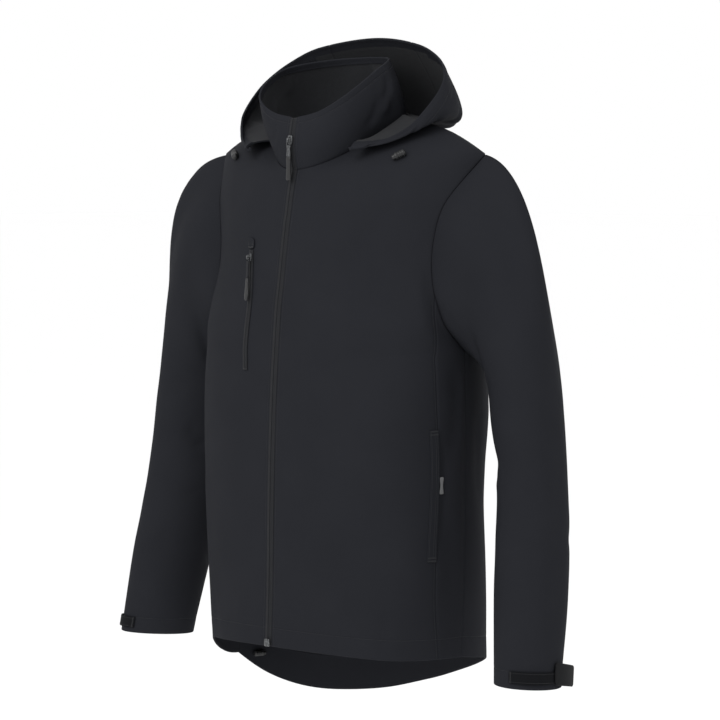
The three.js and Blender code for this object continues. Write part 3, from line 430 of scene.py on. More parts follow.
BACK_FOLDS = (
    (0.86, -0.3, 0.9, -0.52, 6, 12, -2.8),
    (0.86, 0.24, 0.9, 0.48, -6, 12, -3.0),
    (0.55, 0.3, 0.8, 0.5, 10, 20, -2.6),
    (0.6, -0.32, 0.82, -0.48, -10, 18, -2.4),
    (0.42, -0.1, 0.38, -0.46, -8, 20, -2.0),
    (0.48, 0.2, 0.5, 0.62, 12, 16, 1.8),
    (0.7, 0.55, 0.84, 0.72, 6, 13, 1.4),
    (0.7, -0.58, 0.83, -0.74, -6, 12, 1.3),
    (0.3, 0.05, 0.33, 0.34, 8, 20, -1.1),
    (0.2, -0.5, 0.25, -0.16, 10, 18, 1.0),
    (0.5, 0.88, 0.3, 0.84, 4, 12, -1.3),
    (0.52, -0.9, 0.28, -0.84, -4, 12, -1.3),
    (0.95, -0.3, 0.96, 0.2, 3, 10, 0.9),
    (0.12, 0.3, 0.01, 0.34, 4, 12, -0.9),
    (0.11, -0.2, 0.01, -0.24, 4, 12, 0.9),
)


def body_facing(rows, v, q):
    q = np.where(np.abs(q) < 0.004, 0.0041, q)
    n = facing(lambda a, b: plain_body(rows, a, b), v, q)
    return n if rows is FRONT else -n


def body(rows, v, q, out=0.0):
    """Points of the body with its folds, moved out by so many millimetres, and their normals."""
    v, q = np.broadcast_arrays(np.asarray(v, float), np.asarray(q, float))
    normals = body_facing(rows, v, q)
    push = folds(FRONT_FOLDS if rows is FRONT else BACK_FOLDS, v, q, *BODY_SPAN)
    push = push + unevenness(q * BODY_SPAN[1], v * BODY_SPAN[0]) * soft(np.abs(q) / 0.06 + (rows is BACK))
    push = push * soft(v / 0.02) * soft((1 - v) / 0.02) * soft((1 - np.abs(q)) / 0.04)
    return plain_body(rows, v, q) + normals * (push + out)[..., None], normals


def lengths(points):
    """Cumulative lengths along the rows of a grid of points."""
    steps = np.linalg.norm(np.diff(points, axis=1), axis=-1)
    return np.concatenate([np.zeros((len(points), 1)), np.cumsum(steps, 1)], 1)


STITCH_LINES = (-1.1, -0.5, 0, 0.5, 1.1)


def ruled(total, step, marks=()):
    """Places from 0 to a total, step apart, with close ones at the ends and round each mark."""
    extra = [0.5, 1.2, 2.2, total - 0.5, total - 1.2, total - 2.2]
    for mark in marks:
        extra += [mark + c for c in STITCH_LINES]
    places = np.concatenate([np.linspace(0, total, int(total / step) + 1), extra])
    places = np.unique(np.round(np.clip(places, 0, total), 3))
    keep = [places[0]]
    for p in places[1:]:
        if p - keep[-1] > 0.35:
            keep.append(p)
    keep[-1] = total
    return np.array(keep)


SEAM_ZONE = 30
ALONG_SAMPLES = 90


def spread(point, v, q0, q1, step, left_marks=(), right_marks=()):
    """Columns across each row: close to each end they keep their millimetres from it. Gives q and u."""
    samples = np.linspace(0, 1, ALONG_SAMPLES)
    q = q0[:, None] + (q1 - q0)[:, None] * samples
    long = lengths(point(v[:, None], q))
    total = long[:, -1]
    left = ruled(SEAM_ZONE, 3, left_marks)
    right = ruled(SEAM_ZONE, 3, right_marks)
    middle = np.linspace(0, 1, max(int((total.mean() - 2 * SEAM_ZONE) / step), 3))[1:-1]
    scale = np.minimum(1, total / (3 * SEAM_ZONE))[:, None]
    u_left = left * scale
    u_right = total[:, None] - (right * scale)[:, ::-1]
    u_middle = u_left[:, -1:] + (u_right[:, :1] - u_left[:, -1:]) * middle
    u = np.concatenate([u_left, u_middle, u_right], 1)
    found = np.stack([np.interp(u[k], long[k], q[k]) for k in range(len(v))])
    return found, u


def pucker(distance, along, size=0.22):
    """Small uneven waves beside a stitched seam."""
    wave = np.sin(along / 2.3 + 1.1 * np.sin(along / 9.1)) + 0.6 * np.sin(along / 3.7 + 2.0)
    return size * wave * np.exp(-np.abs(distance) / 5) * (0.6 + 0.4 * np.sin(along / 47))


def groove(distance, deep=0.35, wide=0.8):
    return -deep * np.exp(-((distance / wide) ** 2))


def mesh_object(name, points, faces, finishes, choice=None, cloth_map=None):
    """A smooth-shaded mesh from points in millimetres, turned outwards."""
    points = np.asarray(points, float)
    faces = np.asarray(faces, int)
    a, b, c, d = (points[faces[:, k]] for k in range(4))
    volume = np.einsum("ij,ij->i", a, np.cross(b, c) + np.cross(c, d)).sum()
    if volume < 0:
        faces = faces[:, ::-1]
    mesh = bpy.data.meshes.new(name)
    mesh.from_pydata((points * MM).tolist(), [], faces.tolist())
    for finish in finishes:
        mesh.materials.append(finish)
    mesh.polygons.foreach_set("use_smooth", np.ones(len(faces), bool))
    if choice is not None:
        mesh.polygons.foreach_set("material_index", np.asarray(choice, np.int32))
    if cloth_map is not None:
        layer = mesh.uv_layers.new(name=CLOTH_MAP)
        layer.data.foreach_set("uv", np.asarray(cloth_map, np.float32)[faces.ravel()].ravel())
    mesh.update()
    placed = bpy.data.objects.new(name, mesh)
    bpy.context.scene.collection.objects.link(placed)
    return placed


class Panel:
    """A grid of points on a cloth piece's outer face, with its normals, u in millimetres across it and
    v up it. The grid's rows run from the low edge to the high one. With wrap it closes into a tube."""

    def __init__(self, points, normals, u, v, wrap=False):
        self.points = points
        self.normals = normals
        self.u = u
        self.v = v
        self.wrap = wrap

    def build(self, name, lips="", thick=CLOTH, turned=None, finishes=None):
        """A closed shell. The edges named in lips, of low, high, left and right, are rounded.
        Where turned is true its inner face shows the outer face of the turned hem."""
        rows, cols = self.u.shape
        size = rows * cols
        thick = np.broadcast_to(np.asarray(thick, float), (rows, cols))
        inner = self.points - self.normals * thick[..., None]
        ids = np.arange(size).reshape(rows, cols)
        right = np.roll(ids, -1, 1) if self.wrap else ids[:, 1:]
        left = ids if self.wrap else ids[:, :-1]
        face = np.stack([left[:-1], right[:-1], right[1:], left[1:]], -1).reshape(-1, 4)
        back = np.ones(len(face), int)
        if turned is not None:
            back[np.broadcast_to(turned, ids.shape).ravel()[face[:, 0]]] = 0
        quads = [face, face[:, ::-1] + size]
        choice = [np.zeros(len(face), int), back]
        if self.wrap:
            rings = [ids[0], ids[-1][::-1]]
        else:
            rings = [np.concatenate([ids[0, :-1], ids[:-1, -1], ids[-1, :0:-1], ids[:0:-1, 0]])]
        points = [self.points.reshape(-1, 3), inner.reshape(-1, 3)]
        maps = [np.stack([self.u, self.v], -1).reshape(-1, 2)] * 2
        count = 2 * size
        for ring in rings:
            row, col = np.divmod(ring, cols)
            out = np.zeros((len(ring), 3))
            ways = {"low": (row == 0, 1, 0), "high": (row == rows - 1, -1, 0)}
            if not self.wrap:
                ways["left"] = (col == 0, 0, 1)
                ways["right"] = (col == cols - 1, 0, -1)
            for way, (there, down, over) in ways.items():
                if way in lips:
                    step = self.points[row[there], col[there]]
                    step = step - self.points[row[there] + down, col[there] + over]
                    out[there] += step / np.linalg.norm(step, axis=-1, keepdims=True)
            half = thick.ravel()[ring][:, None] / 2
            lines = [ring]
            for share, bulge in ((0.14, 0.66), (0.5, 1.0), (0.86, 0.66)):
                points.append(points[0][ring] * (1 - share) + points[1][ring] * share + out * half * bulge)
                maps.append(maps[0][ring])
                lines.append(np.arange(count, count + len(ring)))
                count += len(ring)
            lines.append(ring + size)
            for first, second in zip(lines[:-1], lines[1:]):
                strip = np.stack([first, second, np.roll(second, -1), np.roll(first, -1)], -1)
                quads.append(strip)
                choice.append(np.zeros(len(strip), int))
        return mesh_object(
            name,
            np.concatenate(points),
            np.concatenate(quads),
            finishes or (SOFTSHELL, FLEECE),
            np.concatenate(choice),
            np.concatenate(maps),
        )

    def area(self):
        """The area of the outer face, in square metres."""
        points = np.concatenate([self.points, self.points[:, :1]], 1) if self.wrap else self.points
        across = points[:-1, 1:] - points[:-1, :-1]
        up = points[1:, :-1] - points[:-1, :-1]
        return float(np.linalg.norm(np.cross(across, up), axis=-1).sum()) * MM * MM

    def line(self, place, low=0.0, high=1.0, from_right=False):
        """The line on it that keeps so many millimetres from its left or right edge."""
        first, last = int(low * (len(self.u) - 1)), int(high * (len(self.u) - 1)) + 1
        lines = []
        for values in (self.points, self.normals):
            found = []
            for k in range(first, last):
                u = self.u[k, -1] - place if from_right else place
                found.append([np.interp(u, self.u[k], values[k, :, j]) for j in range(3)])
            lines.append(np.array(found))
        return lines

    def level(self, place):
        """The row whose v is nearest to a place."""
        row = int(np.argmin(np.abs(self.v.mean(1) - place)))
        points, normals = self.points[row], self.normals[row]
        if self.wrap:
            return [np.vstack([points, points[:1]]), np.vstack([normals, normals[:1]])]
        return [points, normals]


def declare(piece, node, panel, width, length, slot="shell", held="hung"):
    """Puts a cloth piece in place of its solid. Its area is set against its cut, and nothing keeps the
    result.
    """
    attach(piece, "jacket")
    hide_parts(node)
    min(panel.area(), width * length)


THREAD = 0.42
STITCH_PITCH = 3.0
STITCH_LONG = 2.3


def sewing_thread():
    finish = Finish("sewing_thread", Specular_IOR_Level=0.4, Roughness=0.5)
    place = finish.node("ShaderNodeTexCoord", output=3)
    twist = finish.noise(place, 900, 2)
    finish.feed("Base Color", finish.tint(twist, (0.009, 0.0095, 0.011), (0.018, 0.019, 0.022)))
    return finish.material


SEWING_THREAD = sewing_thread()


def along(points, normals, pitch):
    """Places, directions and normals every pitch millimetres along a line."""
    steps = np.linalg.norm(np.diff(points, axis=0), axis=-1)
    far = np.concatenate([[0], np.cumsum(steps)])
    at = np.arange(pitch / 2, far[-1] - pitch / 4, pitch)

    def pick(values, places):
        return np.stack([np.interp(places, far, values[:, k]) for k in range(3)], -1)

    centre = pick(points, at)
    ahead = pick(points, at + pitch * 0.3) - pick(points, at - pitch * 0.3)
    ahead /= np.linalg.norm(ahead, axis=-1, keepdims=True)
    out = pick(normals, at)
    out -= ahead * (out * ahead).sum(-1, keepdims=True)
    out /= np.linalg.norm(out, axis=-1, keepdims=True)
    return centre, ahead, out


def capsules(centre, ahead, out, long, wide, dip=0.5):
    """Short rounded bars, each dipping into what it lies on at both ends."""
    sides, rings = 6, 5
    angle = np.arange(sides) / sides * 2 * math.pi
    reach = np.linspace(-0.5, 0.5, rings)
    radius = np.sqrt(np.clip(1 - (reach / 0.53) ** 2, 0.04, 1)) * wide / 2
    lift = wide * 0.42 - (reach / 0.5) ** 2 * wide * dip
    over = np.cross(ahead, out)
    ring = (
        centre[:, None, None]
        + ahead[:, None, None] * (reach * long)[None, :, None, None]
        + over[:, None, None] * (radius[:, None] * np.cos(angle))[None, ..., None]
        + out[:, None, None] * (lift[:, None] + radius[:, None] * np.sin(angle))[None, ..., None]
    )
    ids = np.arange(sides * rings).reshape(rings, sides)
    turned = np.roll(ids, -1, 1)
    wall = np.stack([ids[:-1], turned[:-1], turned[1:], ids[1:]], -1).reshape(-1, 4)
    caps = [ids[0, [3, 2, 1, 0]], ids[0, [5, 4, 3, 0]], ids[-1, [0, 1, 2, 3]], ids[-1, [0, 3, 4, 5]]]
    template = np.concatenate([wall, np.array(caps)])
    faces = template[None] + (np.arange(len(centre)) * sides * rings)[:, None, None]
    return ring.reshape(-1, 3), faces.reshape(-1, 4)


def combine(parts):
    """One set of points and faces from several."""
    points, faces, count = [], [], 0
    for part_points, part_faces in parts:
        points.append(part_points)
        faces.append(part_faces + count)
        count += len(part_points)
    return np.concatenate(points), np.concatenate(faces)


def stitches(name, lines, pitch=STITCH_PITCH, long=STITCH_LONG, thread=THREAD):
    """Lockstitches along lines of points and normals."""
    parts = [capsules(*along(points, normals, pitch), long, thread) for points, normals in lines]
    piece = mesh_object(name, *combine(parts), [SEWING_THREAD])
    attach(piece, "jacket")


BODY_HIGH = 620  # steps from the hem to the neck, each a little over a millimetre
BODY_ROW = 3.4  # steps between rows of the mesh
HEM = 24  # steps from the hem's edge to its topstitching
HEM_LAYER = 0.7  # what the turned hem adds to the cloth's thickness
V_ROWS = ruled(BODY_HIGH, BODY_ROW, (HEM,)) / BODY_HIGH
for corner in (V_PIT, V_SIDE_TOP, V_TIP):
    V_ROWS[np.argmin(np.abs(V_ROWS - corner))] = corner
POCKET_SEAM = Table(
    "v t",
    (0, 0.85),
    (0.1, 0.822),
    (0.2, 0.818),
    (0.3, 0.828),
    (0.4, 0.832),
    (0.5, 0.818),
    (0.6, 0.806),
    (0.64, 0.812),
    (0.7, 0.914),
    (0.75, 0.972),
    (0.76, 0.982),
    (0.775, 1),
    (1, 1),
)
ZIP_HALF = 6  # half the zip's band
ZIP_STITCH = 3.2  # from the zip's band to the stitching beside it
SEAM_STITCH = 2.6  # from the pocket seam to the stitching beside it
POCKET_TOP = 0.468
POCKET_LOW = 0.195
POCKET_DIP = 1.5  # how far the side panel sinks beside the welt
SIDE_COLUMNS = 40
PANEL_STEP = 3.6
SOLVE_ROUNDS = 12
FRONT_CUT = (0.28, 0.74)
SIDE_CUT = (0.052, 0.56)


def zip_edge(v):
    """The q where a front panel meets the zip's band."""
    q = np.full(v.shape, 0.02)
    for _ in range(SOLVE_ROUNDS):
        q = q * ZIP_HALF / plain_body(FRONT, v, q)[..., 0]
    return q


def front_panel(side):
    v = V_ROWS
    q0 = zip_edge(v) * side
    q1 = np.where(v > V_SIDE_TOP, 1, POCKET_SEAM.at(v)["t"]) * side
    marks = (ZIP_STITCH,), (SEAM_STITCH,)
    q, u = spread(lambda a, b: plain_body(FRONT, a, b), v, q0, q1, PANEL_STEP, *marks)
    vv = np.broadcast_to(v[:, None], q.shape)
    points, normals = body(FRONT, vv, q)
    high = vv * BODY_HIGH
    right = u[:, -1:] - u
    relief = groove(u - ZIP_STITCH) + groove(high - HEM, 0.4) + groove(u, 0.5, 1.3)
    relief += groove(right, np.where(vv > V_PIT, 0.3, 0.7), 1.3)
    relief += groove(right - SEAM_STITCH, 0.3) * soft((V_SIDE_TOP - vv) / 0.02)
    relief += pucker(u - ZIP_STITCH, high, 0.12) * soft(u / 2) + pucker(right, high) * soft(right / 3)
    relief += pucker(high - HEM, u, 0.2) * soft(high / 6)
    return Panel(points + normals * relief[..., None], normals, u, high)


def side_panel(side):
    v = V_ROWS[V_ROWS <= V_SIDE_TOP]
    q0 = np.minimum(POCKET_SEAM.at(v)["t"], 0.9985) * side
    q = q0[:, None] + (side - q0)[:, None] * np.linspace(0, 1, SIDE_COLUMNS)
    vv = np.broadcast_to(v[:, None], q.shape)
    u = lengths(plain_body(FRONT, vv, q))
    points, normals = body(FRONT, vv, q)
    high = vv * BODY_HIGH
    relief = groove(high - HEM, 0.4) + groove(u, 0.7, 1.5) + groove(u[:, -1:] - u, 0.6, 1.5)
    mouth = soft((vv - POCKET_LOW) / 0.08) * soft((POCKET_TOP - vv) / 0.08)
    relief -= POCKET_DIP * mouth * np.exp(-(((u - 7) / 6) ** 2))
    return Panel(points + normals * relief[..., None], normals, u, high)


for hand, side in (("left", 1), ("right", -1)):
    panel = front_panel(side)
    turned = panel.v < HEM
    piece = panel.build(f"front_{hand}_cloth", "low", CLOTH + HEM_LAYER * turned, turned)
    declare(piece, f"front_{hand}", panel, *FRONT_CUT)
    seam_top = float(np.interp(V_SIDE_TOP - 0.01, V_ROWS, np.linspace(0, 1, len(V_ROWS))))
    lines = [panel.line(ZIP_STITCH), panel.line(SEAM_STITCH, 0, seam_top, from_right=True), panel.level(HEM)]
    stitches(f"front_{hand}_topstitching", lines)

    panel = side_panel(side)
    turned = panel.v < HEM
    piece = panel.build(f"side_panel_{hand}_cloth", "low", CLOTH + HEM_LAYER * turned, turned)
    declare(piece, f"side_panel_{hand}", panel, *SIDE_CUT)
    stitches(f"side_panel_{hand}_topstitching", [panel.level(HEM)])

# Back. One panel of softshell from the side seams to the shoulder seams, with the dropped tail.
# Its hem is turned and topstitched like the fronts'.
BACK_CUT = (0.62, 0.85)
BACK_STEP = 3.8


def back_panel():
    v = V_ROWS
    one = np.ones_like(v)
    q, u = spread(lambda a, b: plain_body(BACK, a, b), v, -one, one, BACK_STEP)
    vv = np.broadcast_to(v[:, None], q.shape)
    points, normals = body(BACK, vv, q)
    high = vv * BODY_HIGH
    edge = np.minimum(u, u[:, -1:] - u)
    relief = groove(high - HEM, 0.4) + groove(edge, 0.6, 1.5)
    relief += pucker(edge, high) * soft(edge / 3) + pucker(high - HEM, u, 0.2) * soft(high / 6)
    return Panel(points + normals * relief[..., None], normals, u, high)


panel = back_panel()
turned = panel.v < HEM
piece = panel.build("back_cloth", "low", CLOTH + HEM_LAYER * turned, turned)
declare(piece, "back", panel, *BACK_CUT)
stitches("back_topstitching", [panel.level(HEM)])

# Sleeves. Each is set into its armhole, hangs nearly straight down and bends a little forward at
# the elbow. The cloth drags from under the arm and is otherwise nearly smooth.
SLEEVE = Table(
    "depth x y long short",
    (356, 298, 14, 62, 47),
    (400, 305, 12, 61, 47),
    (460, 315, 9, 58.5, 45),
    (540, 325, -1, 57, 47),
    (620, 335, -15, 55, 47),
    (700, 343, -29.5, 52, 44),
    (729, 346, -34, 51, 43),
)
SLEEVE_TURN = math.radians(-44)
JOIN_DEPTH = 356
CUFF_DEPTH = 729
W_JOIN = 0.36
CUFF_TILT = 0.05
RING_TANGENT = 0.92
armhole_v = np.linspace(V_TIP, V_PIT, 400)
ARMHOLE = [plain_body(FRONT, armhole_v, 1.0), plain_body(BACK, armhole_v[::-1], 1.0)]
ARMHOLE_FAR = [lengths(line[None])[0] for line in ARMHOLE]


def armhole(turn):
    """Round the left armhole: 0 at the shoulder, 0.25 in front, 0.5 under the arm, 0.75 behind."""
    turn = np.mod(turn, 1.0)
    found = []
    for line, far, share in zip(ARMHOLE, ARMHOLE_FAR, (2 * turn, 2 * turn - 1)):
        at = np.clip(share, 0, 1) * far[-1]
        found.append(np.stack([np.interp(at, far, line[:, k]) for k in range(3)], -1))
    return np.where((turn <= 0.5)[..., None], found[0], found[1])


def sleeve_ring(depth, turn):
    r = SLEEVE.at(depth)
    angle = 2 * math.pi * turn
    dx, dy = np.cos(angle), -np.sin(angle)
    a = dx * math.cos(SLEEVE_TURN) + dy * math.sin(SLEEVE_TURN)
    b = dy * math.cos(SLEEVE_TURN) - dx * math.sin(SLEEVE_TURN)
    size = 1 / np.hypot(a / r["long"], b / r["short"])
    tilt = CUFF_TILT * dy * size * soft((depth - JOIN_DEPTH) / (CUFF_DEPTH - JOIN_DEPTH))
    return np.stack([r["x"] + dx * size, r["y"] + dy * size, -depth - tilt], -1)


def head_tangent(turn):
    """The way in which the sleeve head leaves the armhole. It swells most at the shoulder's tip."""
    angle = 2 * math.pi * turn
    top = (1 + np.cos(angle)) / 2
    front, rear = np.maximum(np.sin(angle), 0), np.maximum(-np.sin(angle), 0)
    swell = np.exp(-(((np.mod(turn + 0.5, 1.0) - 0.517) / 0.06) ** 2))
    return np.stack(
        [
            70 + 170 * top**1.2 + 78 * front - 30 * rear + 140 * swell,
            20 * rear - 58 * front - 120 * swell,
            20 * top - 30 - 48 * swell,
        ],
        -1,
    )


def left_sleeve(w, turn):
    """Points of the left sleeve: w from the armhole to the cuff, turn round it."""
    w, turn = np.broadcast_arrays(np.asarray(w, float), np.asarray(turn, float))
    depth = JOIN_DEPTH + (CUFF_DEPTH - JOIN_DEPTH) * np.clip((w - W_JOIN) / (1 - W_JOIN), 0, 1)
    low = sleeve_ring(depth, turn)
    s = np.clip(w / W_JOIN, 0, 1)[..., None]
    start = armhole(turn)
    end = sleeve_ring(np.full(turn.shape, float(JOIN_DEPTH)), turn)
    reach = np.linalg.norm(end - start, axis=-1, keepdims=True)
    down = (sleeve_ring(np.full(turn.shape, JOIN_DEPTH + 2.0), turn) - end) / 2 * reach * RING_TANGENT
    leave = head_tangent(turn) * np.clip(reach / 280, 0.15, 1)
    head = (
        (2 * s**3 - 3 * s**2 + 1) * start
        + (s**3 - 2 * s**2 + s) * leave
        + (3 * s**2 - 2 * s**3) * end
        + (s**3 - s**2) * down
    )
    return np.where((w < W_JOIN)[..., None], head, low)


SLEEVE_SPAN = (680, 320)
SLEEVE_FOLDS = (
    (0.2, 0.34, 0.34, 0.46, 6, 12, -3.2),
    (0.2, 0.66, 0.36, 0.58, 6, 12, -3.2),
    (0.36, 0.6, 0.46, 0.74, 6, 12, -2.4),
    (0.5, 0.33, 0.54, 0.46, 4, 16, -2.4),
    (0.3, 0.05, 0.92, 0.05, 6, 13, -1.5),
    (0.6, 0.55, 0.56, 0.7, 5, 11, -2.4),
)
FINE_FOLDS = {
    "left": (
        (0.56, 0.36, 0.53, 0.5, 4, 8, -1.3),
        (0.62, 0.4, 0.6, 0.54, 4, 8, -1.1),
        (0.14, 0.12, 0.28, 0.2, 8, 14, -0.9),
        (0.78, 0.14, 0.71, 0.28, 6, 12, -0.8),
        (0.86, 0.5, 0.8, 0.64, 5, 10, -0.9),
        (0.46, 0.16, 0.43, 0.28, 5, 10, 0.7),
        (0.7, 0.86, 0.64, 0.98, 6, 12, -0.9),
        (0.24, 0.86, 0.4, 0.92, 6, 14, 0.9),
    ),
    "right": (
        (0.55, 0.37, 0.51, 0.5, 4, 9, -1.2),
        (0.66, 0.38, 0.63, 0.52, 4, 8, -1.0),
        (0.16, 0.13, 0.3, 0.22, 8, 14, -0.8),
        (0.8, 0.16, 0.74, 0.3, 6, 12, 0.8),
        (0.84, 0.52, 0.79, 0.66, 5, 10, -0.9),
        (0.44, 0.18, 0.4, 0.3, 5, 10, -0.7),
        (0.68, 0.84, 0.62, 0.95, 6, 12, -0.9),
        (0.26, 0.84, 0.42, 0.9, 6, 14, 0.8),
    ),
}


def sleeve(hand, w, turn, out=0.0):
    """Points of a sleeve with its folds, moved out by so many millimetres, and their normals."""
    w, turn = np.broadcast_arrays(np.asarray(w, float), np.asarray(turn, float))
    e = 0.006
    across = left_sleeve(w, turn + e) - left_sleeve(w, turn - e)
    down = left_sleeve(np.minimum(w + e, 1), turn) - left_sleeve(np.maximum(w - e, 0.0005), turn)
    normals = np.cross(across, down)
    normals /= np.linalg.norm(normals, axis=-1, keepdims=True)
    table = SLEEVE_FOLDS + FINE_FOLDS[hand]
    push = sum(folds(table, w, np.mod(turn, 1) + shift, *SLEEVE_SPAN) for shift in (-1, 0, 1))
    push = push + unevenness(60 * np.sin(2 * math.pi * turn), w * SLEEVE_SPAN[0], 0.3)
    push = push * soft(w / 0.06) * soft((1 - w) / 0.05)
    points = left_sleeve(w, turn) + normals * (push + out)[..., None]
    mirror = np.array([1 if hand == "left" else -1, 1, 1])
    return points * mirror, normals * mirror


SLEEVE_LONG = 640  # steps from the armhole to the cuff, each a little over a millimetre
CUFF_HEM = 22  # steps from the cuff's edge to its topstitching
SLEEVE_ROW = 3.6
SLEEVE_COLUMNS = 104
SLEEVE_CUT = (0.6, 0.69)
SEAM_ALLOWANCE = 4  # what runs on under the body at the armhole
SEAM_UNDER = 2.3  # how deep it lies there


def sleeve_panel(hand):
    places = ruled(SLEEVE_LONG, SLEEVE_ROW, (SLEEVE_LONG - CUFF_HEM,))
    turns = np.arange(SLEEVE_COLUMNS) / SLEEVE_COLUMNS
    w, turn = np.meshgrid(np.maximum(places / SLEEVE_LONG, 0.0008), turns, indexing="ij")
    points, normals = sleeve(hand, w, turn)
    around = lengths(np.concatenate([points, points[:, :1]], 1))[:, :-1]
    far = np.broadcast_to(places[:, None], turn.shape)
    relief = groove(far, 0.3, 1.2) + groove(SLEEVE_LONG - CUFF_HEM - far, 0.4)
    relief += pucker(far, 330 * turn) * soft(far / 3)
    points = points + normals * relief[..., None]
    back = points[0] - points[2]
    back *= SEAM_ALLOWANCE / np.linalg.norm(back, axis=-1, keepdims=True)
    under = points[0] + back - normals[0] * SEAM_UNDER
    points = np.concatenate([under[None], points])
    normals = np.concatenate([normals[:1], normals])
    around = np.concatenate([around[:1], around])
    far = np.concatenate([far[:1] - SEAM_ALLOWANCE, far])
    return Panel(points[::-1], normals[::-1], around[::-1], (SLEEVE_LONG - far)[::-1], wrap=True)


for hand in ("left", "right"):
    panel = sleeve_panel(hand)
    turned = panel.v < CUFF_HEM
    piece = panel.build(f"sleeve_{hand}_cloth", "low", CLOTH + HEM_LAYER * turned, turned)
    declare(piece, f"sleeve_{hand}", panel, *SLEEVE_CUT)
    stitches(f"sleeve_{hand}_topstitching", [panel.level(CUFF_HEM)])

# Collar. A stand collar in one piece, whose top edge is turned and topstitched. It leans against
# the zip in front and creases where the hood's corner pulls at it.
NECK_LINE = np.concatenate(
    [
        plain_body(FRONT, 1.0, np.linspace(0, 1, 400)),
        plain_body(BACK, 1.0, np.linspace(1, 0, 400))[1:],
    ]
)
NECK_FAR = lengths(NECK_LINE[None])[0]
COLLAR_TOP = Table(
    "round x y z",
    (0, 0, -106, -11),
    (0.15, 42, -104, -3),
    (0.3, 76, -95, 14),
    (0.42, 91, -74, 33),
    (0.55, 92, -42, 53),
    (0.68, 80, -12, 63),
    (0.84, 46, 26, 70),
    (1, 0, 42, 72),
)
NECK_MIDDLE = np.array([0, -35, 0])
COLLAR_BULGE = 5
COLLAR_SPAN = (80, 300)
COLLAR_FOLDS = (
    (0.25, 0.62, 0.62, 0.52, 4, 7, -2.2),
    (0.5, 0.5, 0.86, 0.42, 4, 6, -1.8),
    (0.3, 0.52, 0.5, 0.47, 3, 6, 1.4),
    (0.7, 0.36, 0.9, 0.3, 2, 6, -1.0),
    (0.3, -0.6, 0.6, -0.5, -4, 7, -1.8),
    (0.5, -0.44, 0.85, -0.38, -3, 7, -1.4),
    (0.3, -0.1, 0.7, 0.02, 5, 9, 1.0),
    (0.4, -0.86, 0.8, -0.9, 2, 5, -0.8),
)
COLLAR_STITCH = 8
COLLAR_HIGH = 74
COLLAR_CUT = (0.59, 0.095)
COLLAR_LAYER = 0.8  # what its turned edge adds to the thickness


def neck(turn):
    """Along the neck seam: 0 in front, 1 in the middle of the back."""
    at = np.clip(turn, 0, 1) * NECK_FAR[-1]
    return np.stack([np.interp(at, NECK_FAR, NECK_LINE[:, k]) for k in range(3)], -1)


def plain_collar(h, s):
    """Points of the collar: h from its foot to its top, s from the right front (-1) to the left (1)."""
    h, s = np.broadcast_arrays(np.asarray(h, float), np.asarray(s, float))
    turn = 1 - np.abs(s)
    top = COLLAR_TOP.at(turn)
    low = neck(turn)
    points = low + (np.stack([top["x"], top["y"], top["z"]], -1) - low) * h[..., None]
    out = (points - NECK_MIDDLE) * (1, 1, 0)
    out /= np.linalg.norm(out, axis=-1, keepdims=True)
    points = points + out * (COLLAR_BULGE * np.sin(math.pi * h))[..., None]
    return points * np.stack([np.where(s < 0, -1, 1), np.ones_like(s), np.ones_like(s)], -1)


def collar_panel():
    h = ruled(COLLAR_HIGH, 2.2, (COLLAR_HIGH - COLLAR_STITCH,)) / COLLAR_HIGH
    edge = np.full(h.shape, 0.02)
    for _ in range(SOLVE_ROUNDS):
        edge = edge * ZIP_HALF / plain_collar(h, 1 - edge)[..., 0]
    s, u = spread(plain_collar, h, edge - 1, 1 - edge, 2.6, (ZIP_STITCH,), (ZIP_STITCH,))
    hh = np.broadcast_to(h[:, None], s.shape)
    normals = -facing(plain_collar, hh, s)
    high = hh * COLLAR_HIGH
    edge = np.minimum(u, u[:, -1:] - u)
    push = folds(COLLAR_FOLDS, hh, s, *COLLAR_SPAN) + unevenness(u, high, 0.22)
    push = push * soft(edge / 12) * soft(hh / 0.12) * soft((1 - hh) / 0.1)
    push += groove(edge - ZIP_STITCH) + groove(COLLAR_HIGH - COLLAR_STITCH - high, 0.4)
    push += groove(high, 0.6, 1.4) + pucker(COLLAR_HIGH - COLLAR_STITCH - high, u, 0.16)
    return Panel(plain_collar(hh, s) + normals * push[..., None], normals, u, high)


panel = collar_panel()
turned = panel.v > COLLAR_HIGH - COLLAR_STITCH
piece = panel.build("collar_cloth", "high left right", CLOTH + COLLAR_LAYER * turned, turned)
declare(piece, "collar", panel, *COLLAR_CUT)
lines = [panel.line(ZIP_STITCH), panel.line(ZIP_STITCH, from_right=True)]
stitches("collar_topstitching", [panel.level(COLLAR_HIGH - COLLAR_STITCH), *lines])

# Hood. Two side panels and a middle one, sewn to the neck seam round the collar, lie back as a
# bowl. The face edge is turned to a wide casing, in which the drawcord runs.
HOOD = Table(
    "round lowX lowY lowZ rimX rimY rimZ",
    (0, 90, -90, -56, 92, -98, -50),
    (0.12, 120, -68, -55, 130, -74, -41),
    (0.24, 142, -50, -51, 155, -53, -24),
    (0.36, 161, -32, -43.5, 168, -37, -4),
    (0.48, 169, 0, -36.4, 172, -12, 22),
    (0.6, 160, 40, -41, 165, 8, 44),
    (0.72, 140, 81, -54, 140, 26, 67),
    (0.84, 96, 114, -66, 92, 37, 87),
    (1, 0, 128, -70, 0, 50, 98),
    (1.16, -96, 114, -66, -92, 37, 87),
)
HOOD_NECK_FROM = 0.36
HOOD_SEAM = 0.87
HOOD_MIDDLE = np.array([0, -20, 0])
HOOD_OUT = 3.4
HOOD_UP = 0.8
HOOD_HIGH = 210
CASING = 15
CASING_LAYER = 1.0  # what the casing and its cord add to the thickness
HOOD_SPAN = (210, 420)
